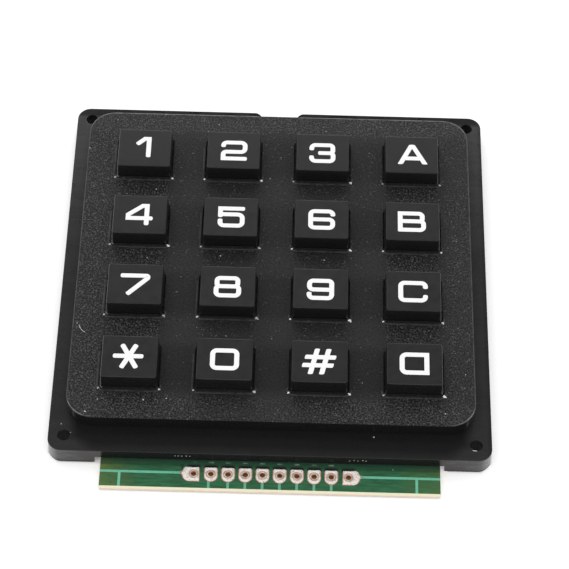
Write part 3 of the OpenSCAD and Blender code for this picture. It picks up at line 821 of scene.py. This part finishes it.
def dull_tin(colours, header):
    """Levelled tin with a fine crystalline skin, darker pits, painted shade in the groove round each hole,
    and a painted highlight over the rear of each pad and near its edge.
    """
    f = Finish("dull_tin", colours.tin)
    steps = hole_steps(f, header)
    nearest = f.math("MINIMUM", f.most(f.math("ROUND", steps), 0), header.count - 1)
    x = f.times(f.less(steps, nearest), header.pitch)
    y = f.less(f.y, header_centres(header)[0][1])
    radius = f.math("SQRT", f.plus(f.times(x, x), f.times(y, y)))
    # Painted shade in the groove round each hole, in the pits' colour
    groove_line = header.ring - 0.03 * MM
    groove = f.times(f.reach(f.off(radius, groove_line), 0.05, 0.14, 0.75, 0),
                     f.span(f.noise(0.5, 2), 0.3, 0.6, 0.4, 1))
    pits = f.span(f.noise(0.22, 3, 0.6), 0.53, 0.64, 0, 0.7)
    skin = f.mix(f.noise(0.45, 3), scaled(colours.tin, 0.9), scaled(colours.tin, 1.12))
    inside = f.times(f.reach(radius, 0.7, 0.62, 0, 0.6), f.uneven(0.6, 2, half=0.1))
    # Painted highlight over the rear of each pad and near its edge
    highlighted = f.most(f.reach(y, 0.5, 0.8, 0, 0.9), f.reach(radius, 0.8, 0.95, 0, 0.45))
    skin = f.mix(highlighted, f.mix(inside, skin, colours.pit), TIN_HIGHLIGHT)
    f.set(Base_Color=f.mix(f.most(pits, groove), skin, colours.pit))
    f.set(Metallic=0.25, Roughness=f.uneven(0.3, 3, 0.4, 0.6))
    f.set(Normal=f.bump(f.cells(0.2), 0.02, 0.6, f.bump(f.noise(0.35, 2), 0.03, 0.5)))
    return f.material


def fluxed_copper(name, tint, gloss):
    """Bare copper with stains of flux."""
    f = Finish(name, tint)
    stained = f.mix(f.uneven(0.35, 3, half=0.15), scaled(tint, 0.55), scaled(tint, 1.2))
    f.set(Metallic=0.6, Base_Color=stained)
    return f.skin(patches=(0.2, gloss, gloss + 0.2), relief=(0.12, 0.006, 0.4))


def pad_border(colours, header):
    """The bare border of the pads: pink copper in front, black behind, and mask over the outer tips."""
    f = Finish("pad_border", colours.border)
    low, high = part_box("header_pads")
    stains = f.mix(f.uneven(0.35, 3, half=0.15), scaled(colours.border, 0.6), scaled(colours.border, 1.2))
    bare = f.mix(f.reach(f.less(f.y, high.y), -0.5, -0.2), stains, PAD_REAR_DARK_COPPER)
    from_last_hole = f.less(f.off(f.x, (low.x + high.x) / 2), (header.count - 1) / 2 * header.pitch)
    f.set(Metallic=0.3, Base_Color=f.mix(f.reach(from_last_hole, *MASKED_TIP), bare, colours.track))
    return f.skin(patches=(0.2, 0.4, 0.6), relief=(0.12, 0.006, 0.4))


def moulded_silicone(colours):
    """Milky silicone rubber with a fine matt skin."""
    f = Finish("moulded_silicone", colours.silicone)
    f.set(Base_Color=f.mix(f.noise(4, 2), scaled(colours.silicone, 0.92), colours.silicone))
    f.set(Subsurface_Weight=0.25, Subsurface_Scale=0.5 * MM)
    return f.skin(patches=(0.6, 0.5, 0.65), relief=(0.15, 0.006, 0.4))


def pressed_carbon(colours):
    """Matt carbon rubber of the contact pills."""
    f = Finish("pressed_carbon", colours.carbon)
    f.set(Base_Color=f.mix(f.noise(0.2, 3), colours.carbon, scaled(colours.carbon, 1.8)))
    return f.skin(patches=(0.2, 0.7, 0.85), relief=(0.1, 0.01, 0.5))


def pale_speck_finish(name, tint, dim):
    """Pale, matt, uneven specks, for dust and for painted glints, some of which are as dim as the given share
    of the others.
    """
    f = Finish(name, tint)
    speckled = f.mix(f.noise(0.3, 2), scaled(tint, 0.7), scaled(tint, 1.2))
    f.set(Roughness=0.9, Base_Color=f.mix(f.uneven(6, 1, half=0.08), scaled(tint, dim), speckled))
    f.set(Normal=f.bump(f.noise(0.03, 2), 0.01, 0.5))
    return f.material


def white_floor(lift):
    """White card that takes the lamps' light and the keypad's shadow.

    The camera, and what mirrors or lets through, sees the lift on top of it, so that the lit card is white.
    The card right under the keypad has no lift, so that it stays dark through the holes. It has some beside
    the board's tab, and all of it outside the flange's round corners.
    """
    f = Finish("white_card", (1, 1, 1))
    f.tree.nodes.remove(f.surface)
    mottled = f.mix(f.noise(90, 2), GREY_CARD, PALE_CARD)
    card = f.node("ShaderNodeBsdfDiffuse", {"Color": mottled})
    aside = f.off(f.x)
    left_gap = 0.45
    gap = f.times(f.reach(aside, *BESIDE_TAB), f.reach(aside, *NOTCH_SIDE), f.reach(f.y, *NOTCH_REAR),
                  f.reach(f.x, *MIDDLE_TO_RIGHT, left_gap, 1))
    low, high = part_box("housing")
    # A diagonal at x + y = cut just touches the round corner
    cut = (high.x - low.x + high.y - low.y) / 2 - (2 - 2 ** 0.5) * FLANGE_CORNER
    corner = f.reach(f.less(f.plus(aside, f.off(f.y)), cut), 0, 0.2)
    open_card = f.most(*f.past(low, high, 0, 0.3), corner, gap)
    glow = f.node("ShaderNodeEmission", {"Color": (1, 1, 1), "Strength": f.times(f.seen(), lift, open_card)})
    both = f.node("ShaderNodeAddShader", {0: card.outputs[0], 1: glow.outputs[0]})
    f.feed(f.output.inputs["Surface"], both.outputs[0])
    return f.material


def give_finish(nodes, material):
    """Puts a material on CAD nodes in place of their plain one."""
    for name in nodes:
        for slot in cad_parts[name].material_slots:
            slot.material = material


# Operators

class KEYPAD_OT_stage(bpy.types.Operator):
    """Make the camera, the lamps, the room's light and the floor"""
    bl_idname = "keypad.stage"
    bl_label = "Stage"

    def execute(self, context):
        settings = context.scene.keypad.stage
        self.camera(context, settings)
        rear_at, rear_size = (-60, 450, 230), (420, 260)
        front_at, front_size = (-40, -160, 520), (500, 400)
        self.lamp(context, "rear_softbox", rear_at, rear_size, settings.rear_power)
        self.lamp(context, "front_softbox", front_at, front_size, settings.front_power)
        self.room(context, settings)
        self.floor(context, settings.floor_lift)
        context.scene.view_settings.view_transform = "Standard"
        return {"FINISHED"}

    def camera(self, context, settings):
        """The camera looks along its own -Z at the aim, and is then rolled about that line."""
        data = bpy.data.cameras.new("photo_camera")
        data.sensor_width = 36
        data.lens = settings.lens
        data.clip_start, data.clip_end = 0.01, 10
        camera = bpy.data.objects.new("photo_camera", data)
        at, aim = Vector(settings.camera_at), Vector(settings.camera_aim)
        turn = (aim - at).to_track_quat("-Z", "Y") @ Quaternion((0, 0, 1), settings.camera_roll)
        camera.rotation_mode = "QUATERNION"
        camera.location, camera.rotation_quaternion = at, turn
        context.scene.collection.objects.link(camera)
        context.scene.camera = camera

    def lamp(self, context, name, at, size, power):
        """A rectangular softbox that faces the keypad. Place and size are in millimetres."""
        data = bpy.data.lights.new(name, "AREA")
        data.shape = "RECTANGLE"
        data.size, data.size_y = (side * MM for side in size)
        data.energy = power
        lamp = bpy.data.objects.new(name, data)
        lamp.location = Vector(at) * MM
        lamp.rotation_euler = (-lamp.location).to_track_quat("-Z", "Y").to_euler()
        context.scene.collection.objects.link(lamp)

    def room(self, context, settings):
        """An even room. The camera, and what mirrors or lets through, sees its walls as a white backdrop."""
        world = bpy.data.worlds.new("white_room")
        world.use_nodes = True
        tree = Nodes(world.node_tree)
        upward = tree.parts(tree.node("ShaderNodeTexCoord").outputs["Generated"])[2]
        wall_top, ceiling = 0.4, 0.7
        wall = tree.span(upward, wall_top, ceiling, 1, settings.ceiling_level)
        background = world.node_tree.nodes["Background"]
        tree.feed(background.inputs["Strength"], tree.mix_value(tree.seen(), settings.room_level, wall))
        tree.feed(background.inputs["Color"], (1, 1, 1))
        context.scene.world = world

    def floor(self, context, lift):
        """A level square card under the keypad, in metres."""
        half = 1.5
        corners = [(-half, -half, 0), (half, -half, 0), (half, half, 0), (-half, half, 0)]
        mesh = bpy.data.meshes.new("floor")
        mesh.from_pydata(corners, [], [(0, 1, 2, 3)])
        mesh.materials.append(white_floor(lift))
        floor = bpy.data.objects.new("floor", mesh)
        context.scene.collection.objects.link(floor)


class KEYPAD_OT_mouldings(bpy.types.Operator):
    """Give the housing and the keys their plastics"""
    bl_idname = "keypad.mouldings"
    bl_label = "Mouldings"

    def execute(self, context):
        colours = context.scene.keypad.colours
        rims = context.scene.keypad.rims
        give_finish(["housing"], housing_plastic(colours, rims))
        give_finish([f"keycap_{key}" for key in KEYS], key_plastic(colours, rims))
        return {"FINISHED"}


class KEYPAD_OT_legends(bpy.types.Operator):
    """Print the legend of each key on its top"""
    bl_idname = "keypad.legends"
    bl_label = "Legends"

    def execute(self, context):
        settings = context.scene.keypad
        ink = legend_ink(settings.colours)
        for key in KEYS:
            low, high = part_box(f"keycap_{key}")
            centre = np.array([(low.x + high.x) / 2, (low.y + high.y) / 2])
            strokes = [ink_stroke(stroke, layer, centre, settings.legend)
                       for layer, stroke in enumerate(GLYPHS[key])]
            new_piece(f"legend_{key}", strokes, ink, f"key_{key}")
        return {"FINISHED"}


class KEYPAD_OT_board(bpy.types.Operator):
    """Give the board its mask, laminate and tracks"""
    bl_idname = "keypad.board"
    bl_label = "Board"

    def execute(self, context):
        colours, header = context.scene.keypad.colours, context.scene.keypad.header
        give_finish(["circuit_board"], board_laminate(colours, header))
        give_finish(["board_tracks"], masked_track(colours))
        give_finish(["header_pads"], pad_border(colours, header))
        return {"FINISHED"}


# Outlines of the pads in millimetres from their holes, as (x, y) or (x, y, radius of the bend)
PADS = {
    "bullet": [(-1.05, 1.3, 0.3), (-1.05, -1.3, 1.05), (1.05, -1.3, 1.05), (1.05, 1.3, 0.3)],
    "right": [(-0.9, 1.3), (-0.9, -1.3), (1.5, -1.3, 0.95), (1.7, -0.25), (1.88, -0.02), (1.88, 0.32),
              (1.7, 0.55), (1.5, 1.3, 0.55)],
}


def pad_edge(angle, kind, border):
    """Distance from a hole's centre to its pad's edge in each direction, less the border.

    A ray along w meets the side from a to b at r = (a x (b - a)) / (w x (b - a)), and counts where it meets
    the side between its ends. The border is twice as wide behind the hole, where w points to the rear.
    """
    outline = rounded_path(PADS["right" if kind == "left" else kind], True) * MM
    if kind == "left":
        outline = outline[::-1] * [-1, 1]
    tiny, slack = 1e-12, 1e-6
    a = outline[None, :, :]
    side = np.roll(outline, -1, axis=0)[None, :, :] - a
    way = np.stack([np.cos(angle), np.sin(angle)], axis=1)[:, None, :]
    turn = way[..., 0] * side[..., 1] - way[..., 1] * side[..., 0]
    turn = np.where(np.abs(turn) < tiny, tiny, turn)
    reach = (a[..., 0] * side[..., 1] - a[..., 1] * side[..., 0]) / turn
    along = (a[..., 0] * way[..., 1] - a[..., 1] * way[..., 0]) / turn
    hit = (reach > 0) & (along > -slack) & (along < 1 + slack)
    return np.max(np.where(hit, reach, 0), axis=1) - border * (1 + np.maximum(np.sin(angle), 0))


# Tin's profile: share of the way from hole to ring, and from ring to edge, each with its height
TIN_INSIDE = np.array([(0.0, -0.3), (0.0, 0.35), (0.15, 0.75), (0.35, 0.8), (0.6, 0.25), (0.85, 0.1)])
TIN_OUTSIDE = np.array([(0.0, 0.35), (0.18, 0.8), (0.42, 1.0), (0.68, 0.9), (0.88, 0.55), (1.0, 0.05),
                        (1.0, -0.3)])
LOWER_TIN = 0.6


def tin_coat(centre, kind, header, copper, up):
    """Tin on one pad: a closed profile turned round the hole, its outer half stretched to the pad's edge.

    Height is the copper's plus the profile's times up, which is below 0 on the underside.
    """
    angle = full_turn(PAD_STEPS)[:, None]
    edge = pad_edge(angle[:, 0], kind, header.border)[:, None]
    inside = header.hole + TIN_INSIDE[:, 0] * (header.ring - header.hole) + 0 * angle
    outside = header.ring + TIN_OUTSIDE[:, 0] * (edge - header.ring)
    height = np.concatenate([TIN_INSIDE[:, 1], TIN_OUTSIDE[:, 1]]) * up + copper
    points, grid = turned(centre, np.concatenate([inside, outside], axis=1), height, angle)
    return points, grid_quads(*grid, True, True).tolist()


def hole_lining(centre, header):
    """Copper that lines one hole: a thin closed ring profile turned round the hole's axis."""
    proud, clearance = 0.03 * MM, 0.01 * MM
    outer, inner = header.hole - clearance, header.hole - header.lining
    low, high = BOARD_LOW.z - proud, COPPER_TOP + proud
    soft = header.lining / 3
    profile = np.array([(outer, low), (inner + soft, low), (inner, low + soft), (inner, high - soft),
                        (inner + soft, high), (outer, high)])
    points, grid = turned(centre, profile[:, 0], profile[:, 1], full_turn(ROUND_STEPS)[:, None])
    return points, grid_quads(*grid, True, True).tolist()


def header_centres(header):
    """Centres of the header holes, spread evenly about the middle of the row of pads."""
    low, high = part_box("header_pads")
    steps = np.arange(header.count) - (header.count - 1) / 2
    return [((low.x + high.x) / 2 + step * header.pitch, (low.y + high.y) / 2) for step in steps]


class KEYPAD_OT_header(bpy.types.Operator):
    """Tin the header's pads and line its holes with copper"""
    bl_idname = "keypad.header"
    bl_label = "Header"

    def execute(self, context):
        settings = context.scene.keypad
        centres = header_centres(settings.header)
        kinds = ["left"] + ["bullet"] * (len(centres) - 2) + ["right"]
        tin = settings.header.tin
        faces = ((COPPER_TOP, tin), (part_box("header_pads")[0].z, -LOWER_TIN * tin))
        coats = [tin_coat(centre, kind, settings.header, copper, up)
                 for copper, up in faces for centre, kind in zip(centres, kinds)]
        linings = [hole_lining(centre, settings.header) for centre in centres]
        new_piece("pad_tin", coats, dull_tin(settings.colours, settings.header), "case")
        brown = fluxed_copper("hole_copper", settings.colours.lining, 0.3)
        new_piece("hole_linings", linings, brown, "case")
        return {"FINISHED"}


def mat_sheet(top):
    """Points and faces of the mat's sheet: a merged copy of the mat, cut level over the sheet and capped."""
    shell = bmesh.new()
    shell.from_mesh(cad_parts["dome_mat"].data)
    near = 1e-4 * MM
    bmesh.ops.remove_doubles(shell, verts=shell.verts, dist=near)
    everything = shell.verts[:] + shell.edges[:] + shell.faces[:]
    cut = bmesh.ops.bisect_plane(shell, geom=everything, dist=near, plane_co=(0, 0, top), plane_no=(0, 0, 1),
                                 clear_outer=True)
    rings = [item for item in cut["geom_cut"] if isinstance(item, bmesh.types.BMEdge)]
    bmesh.ops.triangle_fill(shell, use_beauty=True, edges=rings)
    shell.verts.index_update()
    points = np.array([vertex.co for vertex in shell.verts])
    faces = [[vertex.index for vertex in face.verts] for face in shell.faces]
    shell.free()
    return points, faces


def dome(key, foot, mat):
    """Points and faces of one dome: its profile turned round the key's axis, with a disc at both ends.

    The skirt is as thick as its wall across its slope, so its foot is 1.4 times as wide.
    """
    slant = 1.4
    low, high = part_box(f"carbon_pill_{key}")
    middle, radius = (low + high) / 2, (high.x - low.x) / 2 + mat.gap
    shoulder = high.z + mat.crown
    profile = rounded_path([
        (radius, high.z), (mat.foot - mat.wall * slant, foot), (mat.foot, foot),
        (mat.shoulder, shoulder, mat.wall), (mat.boss, shoulder, mat.gap),
        (mat.boss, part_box("dome_mat")[1].z)], False)
    points, grid = turned(middle, profile[:, :1], profile[:, 1:], full_turn(ROUND_STEPS)[None, :])
    return points, tube_faces(*grid, False)


class KEYPAD_OT_mat(bpy.types.Operator):
    """Mould the dome mat as a sheet and sixteen domes"""
    bl_idname = "keypad.mat"
    bl_label = "Dome mat"

    def execute(self, context):
        mat = context.scene.keypad.mat
        silicone = moulded_silicone(context.scene.keypad.colours)
        low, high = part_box("dome_mat")
        foot = low.z + mat.sheet
        sheet = new_piece("mat_sheet", [mat_sheet(foot + mat.skim)], silicone, "case")
        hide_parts("dome_mat")
        for key in KEYS:
            piece = new_piece(f"mat_dome_{key}", [dome(key, foot, mat)], silicone, "case")
            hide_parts("dome_mat")
            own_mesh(piece)
        return {"FINISHED"}


class KEYPAD_OT_inside(bpy.types.Operator):
    """Give the hidden pills and contacts their materials"""
    bl_idname = "keypad.inside"
    bl_label = "Inside"

    def execute(self, context):
        colours = context.scene.keypad.colours
        give_finish([f"carbon_pill_{key}" for key in KEYS], pressed_carbon(colours))
        give_finish(["contact_combs"], fluxed_copper("contact_copper", colours.comb, 0.3))
        return {"FINISHED"}


def bead(corners, closed, height, width, crown):
    """A bead along a path: width / 2 * cos(a) across, crown * sin(a) up, a from 0 to pi, on a sunk foot."""
    path = rounded_path(corners, closed)
    steps = 7
    a = np.linspace(0, math.pi, steps)
    across = np.concatenate([[1], np.cos(a), [-1]]) * width / 2
    up = np.concatenate([[-1], np.sin(a), [-1]]) * crown + height
    return swept(path, miters(path, closed)[0], across, up, closed)


def box_corners(low, high, grow, radius):
    """The corners of a rectangle grown on all sides, each with its radius."""
    x0, y0, x1, y1 = low[0] - grow, low[1] - grow, high[0] + grow, high[1] + grow
    return [(x0, y0, radius), (x1, y0, radius), (x1, y1, radius), (x0, y1, radius)]


def specks(centres, radii, random, stretch=None, lie=None):
    """Crumbs as squashed, lumpy balls: radius times (1 + lump * cos(3 * turn + phase)) over two angles.

    Each has its own stretch and angle, or the given ones. Their height is half of their width.
    """
    turns, tilts = 9, 7
    turn = full_turn(turns)[None, :, None]
    tilt = np.linspace(0, math.pi, tilts)[None, None, :]
    each = (len(centres), 1, 1)
    phase = random.uniform(0, 6.3, each)
    lump = random.uniform(0.1, 0.35, each)
    long_side = random.uniform(1.0, 1.9, each) if stretch is None else np.reshape(stretch, each)
    radius = np.reshape(radii, each)
    lumpy = radius * (1 + lump * np.cos(3 * turn + phase)) * np.sin(tilt)
    x, y = lumpy * np.cos(turn) * long_side, lumpy * np.sin(turn)
    z = np.broadcast_to(radius / 2 * np.cos(tilt), x.shape)
    angle = phase if lie is None else np.reshape(lie, each)
    across, along = np.cos(angle), np.sin(angle)
    points = np.stack([x * across - y * along, x * along + y * across, z], axis=3)
    points = points + np.asarray(centres)[:, None, None, :]
    faces = grid_quads(turns, tilts, True, False).tolist()
    return [(ball.reshape(-1, 3), faces) for ball in points]


class KEYPAD_OT_rims(bpy.types.Operator):
    """Mould the rims of the windows with their nibs, and the bead along the plateau's edge, with painted
    highlights on the rims and the bead and painted glints on the nibs
    """
    bl_idname = "keypad.rims"
    bl_label = "Rims"

    def execute(self, context):
        settings = context.scene.keypad
        rims, dust = settings.rims, settings.dust
        random = np.random.default_rng(dust.seed)
        nib_turn, right_nib, tail = 0.7, 1.3, 0.2 * MM
        nib_sizes, nib_stretches = (0.75, 1.15), (1.1, 1.7)
        beads, nibs, lie = [], [], []
        for key in KEYS:
            low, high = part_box(f"keycap_{key}")
            x0, x1 = low.x + rims.inset - rims.aside, high.x - rims.inset + rims.aside
            y0, bend = low.y + rims.inset - rims.offset, rims.corner + rims.aside
            left_end = high.y - rims.left_end if x1 < 0 else y0 + rims.right_end
            path = [(x0, left_end), (x0, y0, bend), (x1, y0, bend), (x1, y0 + rims.right_end)]
            beads.append(bead(path, False, PLATEAU_TOP, rims.width, rims.height))
            for x, angle in ((low.x + rims.inset, nib_turn), (high.x - rims.inset, -nib_turn)):
                nibs.append((x, low.y + rims.inset, PLATEAU_TOP))
                lie.append(angle)
        plastic = rim_plastic(settings.colours)
        new_piece("window_rims", beads, plastic, "case")
        low, high = rims.plateau_low, rims.plateau_high
        corners = box_corners(low, high, -rims.bead / 2, rims.plateau - rims.bead / 2)
        front = [(side * (high[0] - rims.plateau - tail), corners[0][1]) for side in (1, -1)]
        highlighted = painted_edge_highlight(settings.colours, low, high)
        outline = [front[0], *corners[1:], corners[0], front[1]]
        edge_bead_height = rims.height * 2
        edge = bead(outline, False, PLATEAU_TOP, rims.bead, edge_bead_height)
        new_piece("plateau_bead", [edge], highlighted, "case")
        radii = rims.nib * random.uniform(*nib_sizes, len(nibs))
        radii[1::2] *= right_nib
        # The nibs are painted glints: pale specks at the windows' front corners
        glints = pale_speck_finish("painted_glint_nib", settings.colours.nib, 0.45)
        stretch = random.uniform(*nib_stretches, len(nibs))
        new_piece("window_nibs", specks(nibs, radii, random, stretch, lie), glints, "case")
        return {"FINISHED"}


# Crumbs that can be told apart, in millimetres: x, y, z, radius, stretch, angle in degrees; the long one at
# 30.25, -31.0 is a painted highlight on the front edge of the front right hole
CRUMBS_AND_GLINT = [
    (-18.4, 29.6, 5.6, 0.07, 1.5, 20), (-19.2, 14.3, 5.6, 0.08, 1.4, 70), (-19.9, 0.9, 5.6, 0.07, 1.6, 100),
    (-1.2, 17.0, 5.6, 0.07, 1.3, 40), (-9.7, 27.8, 5.6, 0.06, 1.5, 0), (-30.3, 22.3, 5.6, 0.07, 1.8, 80),
    (-27.5, -27.4, 5.6, 0.1, 1.7, 150), (-25.8, -25.2, 5.6, 0.08, 1.3, 60),
    (-19.0, -25.1, 5.6, 0.09, 1.8, 120),
    (-15.6, -24.8, 5.6, 0.07, 1.4, 30), (25.9, -26.2, 5.6, 0.08, 1.5, 10), (15.4, -29.1, 3.2, 0.1, 1.3, 90),
    (18.3, -33.6, 1.4, 0.06, 1.3, 20), (30.25, -31.0, 3.16, 0.1, 4.6, -8),
    (-31.1, -28.2, 3.2, 0.06, 2.0, 80), (-14.0, -32.75, 2.4, 0.05, 2.6, 0),
    (-13.5, -32.75, 2.45, 0.06, 1.8, 0), (-29.83, -11.68, 5.6, 0.06, 1.5, 20),
    (-13.0, -32.75, 2.4, 0.05, 3.0, 0), (-12.3, -32.75, 2.45, 0.06, 2.6, 0),
    (-11.8, -32.75, 2.4, 0.05, 2.0, 0),
    (11.9, -32.75, 2.3, 0.05, 3.0, 35), (12.5, -32.75, 2.4, 0.05, 2.4, -30),
    (13.1, -32.75, 2.35, 0.05, 2.6, 20), (13.8, -32.75, 2.5, 0.06, 2.4, -40),
    (14.3, -32.75, 2.4, 0.07, 2.2, 60), (-29.6, -29.7, 3.2, 0.04, 2.2, 45),
]
# Fibres as points (x, y) in millimetres along each, on the plateau's top
FIBRES = [[(-29.5, -12.0), (-29.38, -12.4), (-29.2, -12.75), (-28.9, -13.1), (-28.45, -13.4)]]


def fibre(points, thickness):
    """A thin tube of six sides along a line of points that rests on the plateau."""
    path = np.array(points) * MM
    turn, radius = full_turn(THIN_STEPS), thickness / 2
    up = PLATEAU_TOP + radius * (1 + np.sin(turn))
    return swept(path, miters(path, False)[0], radius * np.cos(turn), up, False)


class KEYPAD_OT_dust(bpy.types.Operator):
    """Lay placed specks, fibres and a pale sliver of painted highlight on the housing, and scatter fine dust
    between them
    """
    bl_idname = "keypad.dust"
    bl_label = "Dust"

    def execute(self, context):
        settings = context.scene.keypad.dust
        random = np.random.default_rng(settings.seed)
        # More are tried than are kept, because some would lie on the keys
        tries, spread = settings.count * 3, 0.45
        spots = random.uniform(*DUSTY_AREA, (tries, 2))
        clear = np.ones(len(spots), bool)
        for key in KEYS:
            low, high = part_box(f"keycap_{key}")
            clear &= np.any((spots < np.array(low)[:2] - MM) | (spots > np.array(high)[:2] + MM), axis=1)
        spots = spots[clear][:settings.count]
        radii = settings.size * random.lognormal(0, spread, len(spots))
        centres = np.column_stack([spots, np.full(len(spots), PLATEAU_TOP)])
        fine = specks(centres, radii, random)
        placed = np.array(CRUMBS_AND_GLINT)
        dust_and_glints = specks(placed[:, :3] * MM, placed[:, 3] * MM, random, placed[:, 4], np.radians(placed[:, 5]))
        fibres = [fibre(points, settings.fibre) for points in FIBRES]
        dust = pale_speck_finish("pale_dust_and_glint", context.scene.keypad.colours.dust, 0.95)
        new_piece("dust_and_glint_specks", fine + dust_and_glints + fibres, dust, "case")
        return {"FINISHED"}


class KEYPAD_PT_panel(bpy.types.Panel):
    """Sidebar panel with the steps and settings of the keypad's finish"""
    bl_idname = "KEYPAD_PT_panel"
    bl_label = "Matrix keypad"
    bl_space_type = "VIEW_3D"
    bl_region_type = "UI"
    bl_category = "Keypad"

    def draw(self, context):
        for operator in OPERATORS:
            self.layout.operator(operator.bl_idname)
        for group in ("stage", "legend", "header", "mat", "rims", "dust", "colours"):
            settings = getattr(context.scene.keypad, group)
            box = self.layout.box()
            box.label(text=group.capitalize())
            for name in settings.__annotations__:
                box.prop(settings, name)


OPERATORS = [KEYPAD_OT_stage, KEYPAD_OT_mouldings, KEYPAD_OT_legends, KEYPAD_OT_board, KEYPAD_OT_header,
             KEYPAD_OT_mat, KEYPAD_OT_inside, KEYPAD_OT_rims, KEYPAD_OT_dust]
SETTINGS = [StageSettings, LegendSettings, HeaderSettings, MatSettings, RimSettings, DustSettings,
            ColourSettings, KeypadSettings]
CLASSES = [*SETTINGS, *OPERATORS, KEYPAD_PT_panel]


def register():
    for cls in CLASSES:
        bpy.utils.register_class(cls)
    bpy.types.Scene.keypad = PointerProperty(type=KeypadSettings)


def unregister():
    del bpy.types.Scene.keypad
    for cls in reversed(CLASSES):
        bpy.utils.unregister_class(cls)


def main():
    register()
    bpy.ops.keypad.stage()
    bpy.ops.keypad.mouldings()
    bpy.ops.keypad.legends()
    bpy.ops.keypad.board()
    bpy.ops.keypad.header()
    bpy.ops.keypad.mat()
    bpy.ops.keypad.inside()
    bpy.ops.keypad.rims()
    bpy.ops.keypad.dust()


if __name__ == "__main__":
    main()
